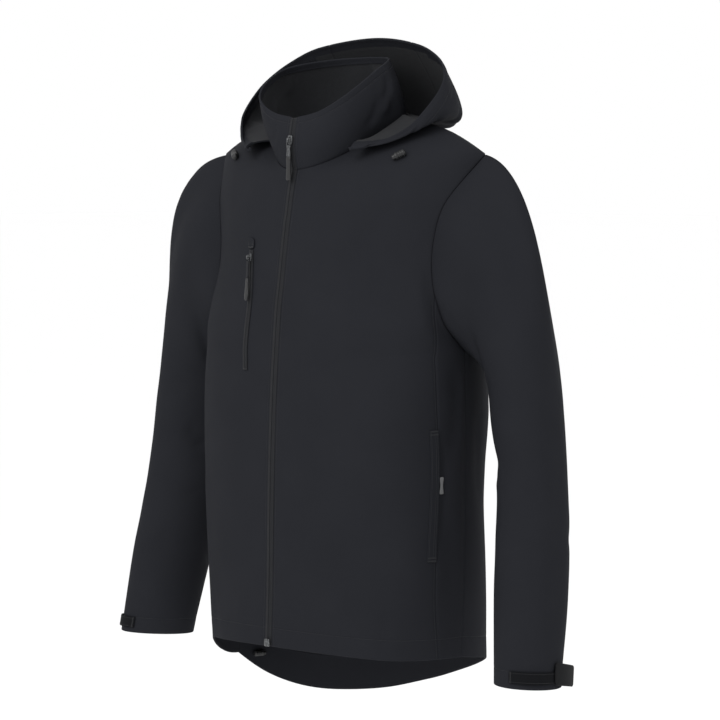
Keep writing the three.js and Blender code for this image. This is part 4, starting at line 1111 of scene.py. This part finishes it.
HOOD_FOLDS = (
    (0.3, 0.4, 0.75, 0.34, 6, 12, -3.0),
    (0.35, 0.62, 0.8, 0.55, 5, 10, -2.0),
    (0.2, 0.24, 0.6, 0.2, 6, 12, 2.4),
    (0.55, 0.76, 0.9, 0.7, 3, 8, -1.6),
    (0.5, 0.1, 0.56, -0.1, 8, 14, -2.2),
    (0.3, -0.4, 0.75, -0.34, -6, 12, -2.6),
    (0.35, -0.62, 0.8, -0.56, -5, 10, -2.0),
    (0.2, -0.24, 0.6, -0.2, -6, 12, 2.2),
    (0.8, 0.5, 0.86, 0.38, 3, 7, -1.2),
    (0.8, -0.3, 0.86, -0.44, 3, 7, -1.2),
)
HOOD_SIDE_CUT = (0.29, 0.24)
HOOD_MIDDLE_CUT = (0.13, 0.24)


def plain_hood(h, s):
    """Points of the hood: h from the neck seam to the rim, s as on the collar."""
    h, s = np.broadcast_arrays(np.asarray(h, float), np.asarray(s, float))
    turn = np.clip(1 - np.abs(s), 0, 1)
    r = HOOD.at(turn)
    low = np.stack([r["lowX"], r["lowY"], r["lowZ"]], -1)
    rim = np.stack([r["rimX"], r["rimY"], r["rimZ"]], -1)
    out = (low - HOOD_MIDDLE) * (1, 1, 0)
    out /= np.linalg.norm(out, axis=-1, keepdims=True)
    foot = neck(HOOD_NECK_FROM + (1 - HOOD_NECK_FROM) * turn) + out * HOOD_OUT + (0, 0, HOOD_UP)
    a = foot + (low - foot) * 0.55 + (0, 0, 12)
    b = low + out * 20 + (0, 0, 10)
    c = low + (rim - low) * 0.55 + out * (4 + 18 * turn**2)[..., None]
    h = h[..., None]
    u = 1 - h
    points = u**4 * foot + 4 * u**3 * h * a + 6 * u**2 * h**2 * b + 4 * u * h**3 * c + h**4 * rim
    return points * np.stack([np.where(s < 0, -1, 1), np.ones_like(s), np.ones_like(s)], -1)


def hood_panel(s0, s1):
    h = ruled(HOOD_HIGH, 3.2, (HOOD_HIGH - CASING,)) / HOOD_HIGH
    s, u = spread(plain_hood, h, np.full(h.shape, s0), np.full(h.shape, s1), 3.4)
    hh = np.broadcast_to(h[:, None], s.shape)
    normals = -facing(plain_hood, hh, s)
    far = lengths(plain_hood(hh, s).transpose(1, 0, 2)).T
    down = far[-1:] - far
    edge = np.minimum(u, u[:, -1:] - u)
    push = folds(HOOD_FOLDS, hh, s, *HOOD_SPAN) + unevenness(s * HOOD_SPAN[1], far, 0.35)
    push = push * soft(hh / 0.1) * soft((1 - hh) / 0.08) * soft((1 - np.abs(s)) / 0.06)
    push += groove(edge, 0.7, 1.5) + pucker(edge, far) * soft(edge / 3)
    push += groove(down - CASING, 0.5, 1.0) + 0.6 * np.exp(-(((down - 6) / 3) ** 2)) * soft(down / 2)
    push += pucker(down - CASING, u, 0.25)
    points = plain_hood(hh, s) + normals * push[..., None]
    sewn = neck(HOOD_NECK_FROM + (1 - HOOD_NECK_FROM) * np.clip(1 - np.abs(s[0]), 0, 1))
    sewn = sewn * np.stack([np.where(s[0] < 0, -1, 1), np.ones_like(s[0]), np.ones_like(s[0])], -1)
    points = np.concatenate([(sewn - (0, 0, 1))[None], points])
    normals, u = np.concatenate([normals[:1], normals]), np.concatenate([u[:1], u])
    return Panel(points, normals, u, np.concatenate([far[:1], far + HOOD_OUT]))


for name, s0, s1, cut in (
    ("hood_left", 1 - HOOD_SEAM, 1.0, HOOD_SIDE_CUT),
    ("hood_right", -1.0, HOOD_SEAM - 1, HOOD_SIDE_CUT),
    ("hood_middle", HOOD_SEAM - 1, 1 - HOOD_SEAM, HOOD_MIDDLE_CUT),
):
    panel = hood_panel(s0, s1)
    down = panel.v[-1:] - panel.v
    piece = panel.build(f"{name}_cloth", "high", CLOTH + CASING_LAYER * (down < CASING), down < CASING)
    declare(piece, name, panel, *cut)
    casing = [np.array([
        [np.interp(CASING, down[::-1, k], values[::-1, k, j]) for j in range(3)]
        for k in range(down.shape[1])
    ]) for values in (panel.points, panel.normals)]
    lines = [casing]
    if name == "hood_middle":
        lines += [panel.line(SEAM_STITCH), panel.line(SEAM_STITCH, from_right=True)]
    stitches(f"{name}_topstitching", lines)

# Front zip. A coil zip, reversed, runs from the hem to the collar's edge: its two tapes meet in a
# fine slit between two rounded ridges, and the coil lies on the inner side. Its end box is metal.
ZIP_PROUD = 0.6
ZIP_ACROSS = (0, 0.25, 0.5, 0.9, 1.4, 1.9, 2.4, 3.0, 3.6, 4.2, 4.7, 5.1, 5.4, 5.7, 5.95)
ZIP_CUT = (0.013, 0.81)
COIL_PITCH = 1.6


def zip_tape():
    finish = Finish("zip_tape", Specular_IOR_Level=0.12)
    grain = finish.node("ShaderNodeUVMap", {"uv_map": CLOTH_MAP})
    across, along_tape, _ = finish.split(grain)
    rib = along_tape.ridges(0.9)
    twill = (across + along_tape).ridges(0.6)
    rub = finish.noise(grain, 0.06, 3)
    shade = rib * 0.3 + twill * 0.2 + rub * 0.5
    finish.feed("Base Color", finish.tint(shade, (0.0075, 0.0079, 0.0094), (0.0135, 0.0141, 0.0163)))
    finish.feed("Roughness", 0.58 - 0.14 * rub)
    finish.bump(rib * 0.6 + twill * 0.4, 0.0002)
    return finish.material


def painted_metal():
    finish = Finish("painted_metal", Metallic=0.75, Specular_IOR_Level=0.5)
    place = finish.node("ShaderNodeTexCoord", output=3)
    worn = finish.noise(place, 420, 4, 0.6) ** 3
    blotch = finish.noise(place, 120, 2)
    rubbed = worn * 2.4 + blotch * 0.2
    finish.feed("Base Color", finish.tint(rubbed, (0.016, 0.017, 0.019), (0.16, 0.165, 0.17)))
    finish.feed("Roughness", 0.26 + 0.2 * blotch)
    finish.bump(blotch, 0.00008)
    return finish.material


def moulded_plastic(name, gloss):
    finish = Finish(name, Specular_IOR_Level=0.04 + 0.46 * gloss, Coat_Roughness=0.12)
    place = finish.node("ShaderNodeTexCoord", output=3)
    grain = finish.noise(place, 1600, 2)
    scuff = finish.noise(place, 160, 4, 0.65)
    finish.feed("Base Color", finish.tint(scuff, (0.0030, 0.0032, 0.0037), (0.0070, 0.0073, 0.0084)))
    finish.feed("Roughness", 0.7 - 0.48 * gloss + 0.2 * scuff)
    finish.feed("Coat Weight", gloss * (0.7 - 0.4 * scuff))
    finish.bump(grain, 0.00005)
    return finish.material


ZIP_TAPE = zip_tape()
PAINTED_METAL = painted_metal()
MATT_PLASTIC = moulded_plastic("matt_plastic", 0.1)
GLOSSY_PLASTIC = moulded_plastic("glossy_plastic", 0.55)


def zip_line():
    """The middle line of the zip's band and its length, from the hem to the collar's edge."""
    line = np.concatenate(
        [
            plain_body(FRONT, np.linspace(0, 1, 400)[:-1], 0.0),
            plain_collar(np.linspace(0.01, 1, 60), 1.0),
        ]
    )
    far = lengths(line[None])[0]
    at = np.linspace(0, far[-1], int(far[-1] / 2.4))
    return np.stack([np.interp(at, far, line[:, k]) for k in range(3)], -1) * (0, 1, 1), at


def zip_panel():
    middle, far = zip_line()
    half = np.array(ZIP_ACROSS)
    x = np.concatenate([-half[:0:-1], half])
    proud = ZIP_PROUD * soft((half[-1] - np.abs(x)) / 1.2) - 0.25
    proud += 0.6 * np.exp(-(((np.abs(x) - 1.6) / 0.95) ** 2)) - 0.75 * np.exp(-((x / 0.3) ** 2))
    points = np.repeat(middle[:, None], len(x), 1)
    points[..., 0] = x
    points[..., 1] -= proud + 0.12 * np.sin(far / 23 + 2 * np.sin(far / 61))[:, None]
    normals = np.broadcast_to(np.array([0.0, -1.0, 0.0]), points.shape)
    u = np.broadcast_to(x + ZIP_HALF, points.shape[:2])
    return Panel(points, normals, u, np.broadcast_to(far[:, None], u.shape))


panel = zip_panel()
piece = panel.build("front_zip_tape", "low high", finishes=(ZIP_TAPE, ZIP_TAPE))
declare(piece, "front_zip", panel, *ZIP_CUT, slot="zip_tape")
middle, far = zip_line()
inner = np.broadcast_to(np.array([0.0, 1.0, 0.0]), middle.shape)
centre, ahead, out = along(middle + (0, CLOTH + 0.1, 0), inner, COIL_PITCH)
piece = mesh_object("zip_coil", *capsules(centre, np.cross(ahead, out), out, 5.2, 1.1, 0.2), [MATT_PLASTIC])
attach(piece, "jacket")


def ring(centre, first, second, wide, high, square=2.6, sides=24):
    """A closed ring round a centre: an oval, or nearly a rectangle as square grows."""
    angle = (np.arange(sides) + 0.5) / sides * 2 * math.pi
    c, s = np.cos(angle), np.sin(angle)
    a = np.sign(c) * np.abs(c) ** (2 / square) * wide
    b = np.sign(s) * np.abs(s) ** (2 / square) * high
    return np.asarray(centre, float) + a[:, None] * np.asarray(first) + b[:, None] * np.asarray(second)


def loft(rings, closed=False):
    """Points and faces of a body through rings. Unless it closes on itself, its ends are capped."""
    count, sides = len(rings), len(rings[0])
    ids = np.arange(count * sides).reshape(count, sides)
    low, high = (ids, np.roll(ids, -1, 0)) if closed else (ids[:-1], ids[1:])
    low_turned, high_turned = np.roll(low, -1, 1), np.roll(high, -1, 1)
    faces = [np.stack([low, low_turned, high_turned, high], -1).reshape(-1, 4)]
    if not closed:
        k = np.arange(sides // 2 - 1)
        cap = np.stack([k, k + 1, sides - 2 - k, sides - 1 - k], -1)
        faces += [ids[0][cap[:, ::-1]], ids[-1][cap]]
    return np.concatenate([np.asarray(r) for r in rings]), np.concatenate(faces)


X_WAY, OUT_WAY, UP_WAY = np.eye(3)


def bar(places, square=2.8, sides=24):
    """A body along its own up way: rows of up, middle out, half width and half thickness."""
    rings = [ring((0, out, up), X_WAY, OUT_WAY, a, b, square, sides) for up, out, a, b in places]
    return loft(rings)


def bent_wire(path, wide, high, closed=False, sides=12):
    """A wire through places of across, out and up: wide across the jacket, high along its bend."""
    path = np.asarray(path, float)
    ahead = np.roll(path, -1, 0) - np.roll(path, 1, 0) if closed else np.gradient(path, axis=0)
    ahead /= np.linalg.norm(ahead, axis=1, keepdims=True)
    side = OUT_WAY if closed else X_WAY
    rings = [ring(p, side, np.cross(side, a), wide, high, 2.2, sides) for p, a in zip(path, ahead)]
    return loft(rings, closed)


class Place:
    """A place on the jacket, with the ways across it, out of the cloth and up."""

    def __init__(self, at, out, up):
        self.at = np.asarray(at, float)
        self.out = np.asarray(out, float) / np.linalg.norm(out)
        up = np.asarray(up, float)
        self.up = up - self.out * (up @ self.out)
        self.up /= np.linalg.norm(self.up)
        self.across = np.cross(-self.out, self.up)

    def put(self, name, node, shape, finish, slot, body_name="jacket", lean=0.0, pivot=0.0):
        """Builds a shape given across, out and up. It can lean about a pivot so far out."""
        points, faces = shape
        c, s = math.cos(lean), math.sin(lean)
        x, out, up = points.T
        local = np.stack([x * c + up * s, out + pivot, up * c - x * s], -1)
        placed = self.at + local @ np.stack([self.across, self.out, self.up])
        piece = mesh_object(name, placed, faces, [finish])
        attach(piece, body_name)
        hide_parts(node)


box_at = plain_body(FRONT, 0.0, 0.0) - (0, ZIP_PROUD, 0)
zip_box = bar([
    (-1.0, 1.75, 3.6, 0.9),
    (-0.4, 1.75, 4.7, 1.3),
    (1.2, 1.75, 5.0, 1.45),
    (4.6, 1.75, 4.9, 1.45),
    (5.2, 1.75, 4.4, 1.2),
    (5.9, 1.75, 4.4, 1.2),
    (6.5, 1.75, 4.9, 1.4),
    (8.2, 1.75, 4.5, 1.3),
    (9.0, 1.75, 3.2, 0.8),
])
Place(box_at, -OUT_WAY, UP_WAY).put("zip_box_casting", "zip_box", zip_box, PAINTED_METAL, "slider_metal")

# Main slider and its pull. The slider is a painted die casting: a foot on the zip, and a bridge
# that holds a wire loop. The loop ends in a flat shank, on which a waisted grip is moulded.
PIVOT_OUT = 4.55  # from the zip's face to the pull's hinge
SLIDER_Z = -39
COLLAR_TOP_Z = COLLAR_TOP.rows[0, 3]


def slider(half_wide, half_long):
    k, m = half_wide / 4.2, half_long / 6
    foot = bar([
        (-6.0 * m, 1.5, 2.0 * k, 0.5),
        (-5.6 * m, 1.5, 2.8 * k, 0.95),
        (-4.0 * m, 1.55, 3.5 * k, 1.1),
        (-1.0 * m, 1.55, 4.1 * k, 1.1),
        (2.5 * m, 1.55, 4.2 * k, 1.1),
        (4.8 * m, 1.55, 3.9 * k, 1.1),
        (5.6 * m, 1.5, 3.3 * k, 0.9),
        (6.0 * m, 1.5, 2.4 * k, 0.5),
    ], 3.2)
    arch = [(-3.5, 1.8), (-3.4, 3.2), (-3.1, 4.7), (-2.4, 5.9), (-1.3, 6.55), (0, 6.7)]
    arch = arch + [(-up, out) for up, out in arch[-2::-1]]
    bridge = bent_wire([(0, out, up) for up, out in arch], 1.4, 0.52)
    return combine([foot, bridge])


def loop_path(half, low, corner=1.4):
    """A rounded loop from the hinge's height down to a level."""
    path = []
    for x, up, start in ((1, 0, 0), (-1, 0, 90), (-1, low, 180), (1, low, 270)):
        for step in range(4):
            angle = math.radians(start + step * 30)
            centre = (x * (half - corner), up - math.copysign(corner, up - low / 2) * (up != 0 or 1))
            path.append((centre[0] + corner * math.cos(angle), 0, centre[1] + corner * math.sin(angle)))
    return path


def shank(half, long, neck_half):
    return bar([
        (-7.0, 0, half * 0.75, 0.5),
        (-8.0, 0, half, 0.8),
        (-long * 0.5, 0, neck_half, 0.8),
        (-long + 2.5, 0, half, 0.85),
        (-long + 0.4, 0, half * 0.95, 0.8),
        (-long, 0, half * 0.7, 0.5),
    ], 3.6)


share_up = (SLIDER_Z - NECK_LINE[0, 2]) / (COLLAR_TOP_Z - NECK_LINE[0, 2])
slider_at = plain_collar(share_up, 1.0) * (0, 1, 0) + (0, -ZIP_PROUD, SLIDER_Z)
main_place = Place(slider_at, -OUT_WAY, UP_WAY)
main_place.put("main_slider_casting", "main_slider", slider(4.2, 6), PAINTED_METAL, "slider_metal")
link = combine([bent_wire(loop_path(3.0, -8.0), 0.75, 0.7, closed=True), shank(3.6, 22, 2.7)])
main_place.put(
    "main_pull_loop", "main_pull_link", link, PAINTED_METAL, "slider_metal", "main_pull", pivot=PIVOT_OUT
)
grip = bar([
    (-22.3, 0, 2.9, 0.7),
    (-22.8, 0, 3.6, 1.15),
    (-24.2, 0, 3.9, 1.45),
    (-26.5, 0, 3.8, 1.5),
    (-27.3, 0, 3.5, 1.25),
    (-28.1, 0, 3.7, 1.45),
    (-34.0, 0, 3.45, 1.4),
    (-41.0, 0, 3.6, 1.45),
    (-48.0, 0, 4.1, 1.5),
    (-51.2, 0, 4.2, 1.4),
    (-52.5, 0, 3.8, 1.1),
    (-53.0, 0, 2.9, 0.6),
], 3.4, 32)
main_place.put(
    "main_pull_grip", "main_pull_grip", grip, GLOSSY_PLASTIC, "moulded", "main_pull", pivot=PIVOT_OUT
)

# Chest pocket, on the wearer's right. A coil zip is sewn on a curve and starts under a small
# garage of softshell. Its slider carries a ribbon with a moulded, drop-shaped grip.
LIFT = 0.35  # between the cloth and what lies on it
TRIM = 1.2  # the thickness of tapes, welts and straps
CHEST_LINE = ((0.605, 0.146), (0.732, 0.175), (0.792, 0.195), (0.862, 0.245))
GARAGE_LINE = ((0.8645, 0.247), (0.88, 0.258))
CHEST_ZIP_HALF, CHEST_ZIP_CUT = 4.0, (0.0105, 0.172)
GARAGE_HALF, GARAGE_THICK, GARAGE_CUT = 6.5, 1.8, (0.016, 0.0135)
CHEST_SLIDER_V = 0.848
CHEST_PULL_LEAN = math.radians(3)


def across_body(v, q, far):
    """How much q makes so many millimetres across the front at (v, q)."""
    step = 0.002
    wide = np.linalg.norm(plain_body(FRONT, v, q + step) - plain_body(FRONT, v, q - step), axis=-1)
    return far * 2 * step / wide


def strip(side, line, half, off, thick, step=1.6, columns=9, taper=0.0, relief=None):
    """A strip on a front panel along a line of (v, t), low to high. Its ends can round off."""
    line = np.array(line)
    coarse = body(FRONT, line[:, 0], line[:, 1] * side)[0]
    far = lengths(coarse[None])[0]
    places = ruled(far[-1], step)
    v = np.interp(places, far, line[:, 0])
    q = np.interp(places, far, line[:, 1]) * side
    end = np.minimum(places, far[-1] - places)
    half = half * (1 - taper * (1 - np.sqrt(1 - (1 - np.clip(end / (half * 0.8), 0, 1)) ** 2)))
    across = np.linspace(-1, 1, columns) * half[:, None]
    vv = np.broadcast_to(v[:, None], across.shape)
    q = q[:, None] + across_body(vv, q[:, None], across)
    lift = relief(across, places[:, None]) if relief else 0
    points, normals = body(FRONT, vv, q, off + thick + lift)
    u = across - across[:, :1].min()
    return Panel(points, normals, u, np.broadcast_to(places[:, None], u.shape))


def tacks(name, lines, wide=2.2, pitch=0.62):
    """Bar tacks: close stitches across each line."""
    parts = []
    for points, normals in lines:
        centre, ahead, out = along(points, normals, pitch)
        parts.append(capsules(centre, np.cross(out, ahead), out, wide, THREAD, 0.25))
    piece = mesh_object(name, *combine(parts), [SEWING_THREAD])
    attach(piece, "jacket")


def chest_zip_relief(across, places):
    ridges = 0.45 * np.exp(-(((np.abs(across) - 1.2) / 0.7) ** 2)) - 0.5 * np.exp(-((across / 0.3) ** 2))
    return ridges - 0.25 * soft((np.abs(across) - 2.6) / 1.0)


panel = strip(-1, CHEST_LINE, CHEST_ZIP_HALF, LIFT, TRIM, 2.0, 21, 0.0, chest_zip_relief)
piece = panel.build("chest_zip_tape", "low left right", TRIM, finishes=(ZIP_TAPE, ZIP_TAPE))
declare(piece, "chest_zip", panel, *CHEST_ZIP_CUT, slot="zip_tape", held="laid")
tacks("chest_zip_tack", [panel.level(1.2)], 2.6)
stitches("chest_zip_stitching", [panel.line(0.9), panel.line(0.9, from_right=True)])

panel = strip(-1, GARAGE_LINE, GARAGE_HALF, LIFT, GARAGE_THICK, 0.8, 15, 0.55)
piece = panel.build("chest_garage_cloth", "low high left right", GARAGE_THICK)
declare(piece, "chest_garage", panel, *GARAGE_CUT, held="folded")
tacks("chest_garage_tack", [panel.level(1.8)], 1.8)
stitches("chest_garage_stitching", [panel.level(6.0), panel.line(1.6, 0.1, 0.8), panel.line(11.4, 0.1, 0.8)])


def chest_t(v):
    (v0, t0), (v1, t1) = CHEST_LINE[2:]
    return t0 + (t1 - t0) * (v - v0) / (v1 - v0)


def chest_point(v):
    return body(FRONT, v, -chest_t(v), LIFT + TRIM)


chest_at = chest_point(CHEST_SLIDER_V)[0]
chest_out = body(FRONT, CHEST_SLIDER_V - 0.03, -chest_t(CHEST_SLIDER_V - 0.03))[1]
chest_place = Place(chest_at, chest_out, chest_at - chest_point(CHEST_SLIDER_V - 0.08)[0])
chest_place.put("chest_slider_casting", "chest_slider", slider(3.6, 5), PAINTED_METAL, "slider_metal")
ribbon = combine([
    bent_wire(loop_path(2.7, -6.4), 0.7, 0.6, closed=True),
    bar([
        (-5.4, 0, 1.9, 0.75),
        (-6.2, 0, 2.3, 0.8),
        (-12.0, 0, 2.2, 0.75),
        (-20.0, 0, 2.2, 0.75),
        (-27.2, 0, 2.3, 0.8),
        (-28.0, 0, 2.0, 0.7),
    ], 4.5),
])
chest_hung = {"body_name": "chest_pull", "lean": CHEST_PULL_LEAN, "pivot": PIVOT_OUT}
chest_place.put("chest_pull_ribbon", "chest_pull_link", ribbon, ZIP_TAPE, "strap", **chest_hung)
drop = bar([
    (-28.3, 0, 1.9, 0.7),
    (-28.9, 0, 2.5, 1.1),
    (-31.0, 0, 2.7, 1.3),
    (-36.0, 0, 2.5, 1.3),
    (-40.0, 0, 2.7, 1.35),
    (-45.0, 0, 3.5, 1.4),
    (-51.0, 0, 3.8, 1.4),
    (-55.0, 0, 3.6, 1.3),
    (-57.3, 0, 2.7, 1.0),
    (-58.0, 0, 1.7, 0.5),
], 2.7, 32)
chest_place.put("chest_pull_drop", "chest_pull_grip", drop, GLOSSY_PLASTIC, "moulded", **chest_hung)

# Hand pockets. Each opens in the seam between front and side panel, over a concealed zip. A welt
# lies beside it, topstitched twice and barred at both ends. The left one holds a blank woven tab.
WELT = 12
WELT_OFF_SEAM = 0.6
TAB_WIDE = 5
TAB_TOP = 0.37
TAB_LOW = 0.336
TAB_THICK = 0.8
WELT_CUT = (0.0135, 0.185)
TAB_CUT = (0.0105, 0.023)


def woven_tab():
    finish = Finish("woven_tab", Specular_IOR_Level=0.3, Sheen_Weight=0.1)
    grain = finish.node("ShaderNodeUVMap", {"uv_map": CLOTH_MAP})
    across, along_tab, _ = finish.split(grain)
    weft = along_tab.ridges(0.35)
    warp = across.ridges(0.5)
    soil = finish.noise(grain, 0.4, 3)
    shade = weft * 0.3 + warp * 0.2 + soil * 0.5
    finish.feed("Base Color", finish.tint(shade, (0.085, 0.087, 0.090), (0.150, 0.152, 0.155)))
    finish.feed("Roughness", 0.62 + 0.2 * soil)
    finish.bump(weft * 0.6 + warp * 0.4, 0.00015)
    return finish.material


def beside_seam(top, low, far):
    """Places on a front at so many millimetres from the pocket seam, low to high."""
    v = np.linspace(low, top, 14)
    t = POCKET_SEAM.at(v)["t"]
    return np.stack([v, t + across_body(v, t, far)], -1)


for hand, side in (("left", 1), ("right", -1)):
    line = beside_seam(POCKET_TOP, POCKET_LOW, -WELT_OFF_SEAM - WELT / 2)
    panel = strip(side, line, WELT / 2, LIFT, TRIM, 2.6, 25)
    piece = panel.build(f"pocket_welt_{hand}_cloth", "low high left right", TRIM)
    declare(piece, f"pocket_welt_{hand}", panel, *WELT_CUT, held="laid")
    edge = panel.u[0, -1]
    lines = [panel.line(place) for place in (1.6, edge - 2.0, edge - 4.6)]
    stitches(f"pocket_welt_{hand}_stitching", lines)
    tacks(f"pocket_welt_{hand}_tacks", [panel.level(1.4), panel.level(4.0)], 2.2)
    high = panel.v.max()
    tacks(f"pocket_top_{hand}_tacks", [panel.level(high - 1.4), panel.level(high - 4.0)], 2.2)

line = beside_seam(TAB_TOP, TAB_LOW, WELT_OFF_SEAM + TAB_WIDE / 2)
panel = strip(1, line, TAB_WIDE / 2, LIFT, TAB_THICK, 0.9, 9, 0.25)
waist = 1 - 0.4 * np.sin(math.pi * panel.v / panel.v.max()) ** 2
middle = panel.points[:, 4:5]
panel.points = middle + (panel.points - middle) * waist[..., None]
piece = panel.build("side_tab_weave", "low high left right", TAB_THICK, finishes=(woven_tab(),) * 2)
declare(piece, "side_tab", panel, *TAB_CUT, slot="woven_tab", held="folded")

# Cuffs. A woven strap lies round the outer front of each cuff, a little loose, and ends in a stiff
# moulded tab that stands off the sleeve.
STRAP_HIGH, STRAP_LOW = 709, 723
STRAP_OFF = 0.6
STRAP_LOOSE = 1.6
STRAP_FRONT = {"left": 0.215, "right": 0.25}
STRAP_BACK = -0.045
CUFF_TAB_FROM, CUFF_TAB_TO = 0.02, -0.125
CUFF_TAB_OUT = 11  # how far the tab's end stands off
CUFF_TAB_LONG = 40
CUFF_TAB_THICK = 1.6
CUFF_TAB_ROUND = 3.2  # the radius of its corners
STRAP_CUT = (0.0155, 0.115)
STRAP_ROWS = 70


def strap_weave():
    finish = Finish("strap_weave", Specular_IOR_Level=0.05)
    grain = finish.node("ShaderNodeUVMap", {"uv_map": CLOTH_MAP})
    across, along_strap, _ = finish.split(grain)
    weft = along_strap.ridges(0.8)
    warp = across.ridges(1.1)
    wear = finish.noise(grain, 0.15, 3)
    shade = weft * warp * 0.6 + wear * 0.4
    finish.feed("Base Color", finish.tint(shade, (0.0040, 0.0042, 0.0050), (0.0095, 0.0100, 0.0116)))
    finish.feed("Roughness", 0.6 + 0.2 * wear)
    finish.bump(weft * warp, 0.0003)
    return finish.material


STRAP_WEAVE = strap_weave()


def cuff_w(depth):
    return W_JOIN + (1 - W_JOIN) * (np.asarray(depth, float) - JOIN_DEPTH) / (CUFF_DEPTH - JOIN_DEPTH)


def cuff_strip(hand, turns, high, low, out, thick, columns):
    """A strip round a cuff. Its rows run round the sleeve, its columns from its low to its high edge."""
    share = np.linspace(0, 1, columns)
    depth = low[:, None] + (high - low)[:, None] * share
    turn = np.broadcast_to(turns[:, None], depth.shape)
    points, normals = sleeve(hand, cuff_w(depth), turn, (out + thick)[:, None])
    v = lengths(points.transpose(1, 0, 2)).T
    return Panel(points, normals, low[:, None] - depth, v)


for hand in ("left", "right"):
    turns = np.linspace(STRAP_FRONT[hand], STRAP_BACK, STRAP_ROWS)
    loose = STRAP_LOOSE * np.exp(-(((turns - 0.12) / 0.06) ** 2))
    high, low = np.full(STRAP_ROWS, float(STRAP_HIGH)), np.full(STRAP_ROWS, float(STRAP_LOW))
    panel = cuff_strip(hand, turns, high, low, STRAP_OFF + loose, TRIM, 15)
    piece = panel.build(f"cuff_strap_{hand}_weave", "low high left right", TRIM, finishes=(STRAP_WEAVE,) * 2)
    declare(piece, f"cuff_strap_{hand}", panel, *STRAP_CUT, slot="strap", held="laid")
    lines = [panel.line(1.5), panel.line(1.5, from_right=True)]
    stitches(f"cuff_strap_{hand}_stitching", lines)
    tacks(f"cuff_strap_{hand}_tack", [panel.level(2.0)], 2.4)

    share = np.linspace(0, 1, 40)
    turns = CUFF_TAB_FROM + (CUFF_TAB_TO - CUFF_TAB_FROM) * share
    high, low = 697 + 7 * share, 724 + 5 * share
    end = CUFF_TAB_LONG * np.minimum(share, 1 - share)
    corner = 1 - np.clip(end / CUFF_TAB_ROUND, 0, 1)
    round_off = CUFF_TAB_ROUND * (1 - np.sqrt(1 - corner**2))
    out = STRAP_OFF + TRIM + 0.5 + CUFF_TAB_OUT * share**1.6
    panel = cuff_strip(hand, turns, high + round_off, low - round_off, out, CUFF_TAB_THICK, 17)
    rib = 0.35 * np.exp(-(((panel.u / panel.u[:, -1:] - 0.5) / 0.16) ** 2)) * soft(end / 8)[:, None]
    panel.points = panel.points - panel.normals * rib[..., None]
    finishes = (MATT_PLASTIC, MATT_PLASTIC)
    piece = panel.build(
        f"cuff_tab_{hand}_moulding", "low high left right", CUFF_TAB_THICK, finishes=finishes
    )
    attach(piece, "jacket")
    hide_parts(f"cuff_tab_{hand}")

# Cord locks. Glossy moulded barrels with a sprung button: two hold the hood's cord under its front
# corners and two hold the hem's cord inside the hem, behind the side seams.


def cord_lock(radius, long):
    rows = (
        (-0.5, 0.45), (-0.49, 0.62), (-0.44, 0.92), (-0.38, 1.0), (-0.30, 1.0), (-0.28, 0.9), (-0.25, 0.9),
        (-0.23, 1.0), (-0.15, 1.0), (-0.13, 0.9), (-0.10, 0.9), (-0.08, 1.0), (0.0, 1.0), (0.02, 0.9),
        (0.05, 0.9), (0.07, 1.0), (0.22, 1.0), (0.27, 0.94), (0.30, 0.74), (0.34, 0.72), (0.45, 0.72),
        (0.49, 0.6), (0.5, 0.42),
    )
    return loft([ring((x * long, 0, 0), OUT_WAY, UP_WAY, r * radius, r * radius, 2.3, 28) for x, r in rows])


HOOD_LOCK_AT = (0.953, 0.6)
HOOD_LOCK_RADIUS, HOOD_LOCK_LONG = 4.6, 19
HEM_LOCK_AT = (0.018, 0.86)
HEM_LOCK_RADIUS, HEM_LOCK_LONG = 4.2, 18
for hand, side in (("left", 1), ("right", -1)):
    at, out = body(FRONT, HOOD_LOCK_AT[0], side * HOOD_LOCK_AT[1], HOOD_LOCK_RADIUS - 0.25)
    beside_hood = plain_hood(0.5, 0.7 * side) - plain_hood(0.5, 0.82 * side)
    place = Place(at, out, np.cross(beside_hood, out))
    lock = cord_lock(HOOD_LOCK_RADIUS, HOOD_LOCK_LONG)
    place.put(f"hood_lock_{hand}_barrel", f"hood_lock_{hand}", lock, GLOSSY_PLASTIC, "moulded")
    at, out = body(BACK, HEM_LOCK_AT[0], side * HEM_LOCK_AT[1], -CLOTH - 1 - HEM_LOCK_RADIUS)
    place = Place(at, -out, UP_WAY)
    lock = cord_lock(HEM_LOCK_RADIUS, HEM_LOCK_LONG)
    place.put(f"hem_lock_{hand}_barrel", f"hem_lock_{hand}", lock, GLOSSY_PLASTIC, "moulded")
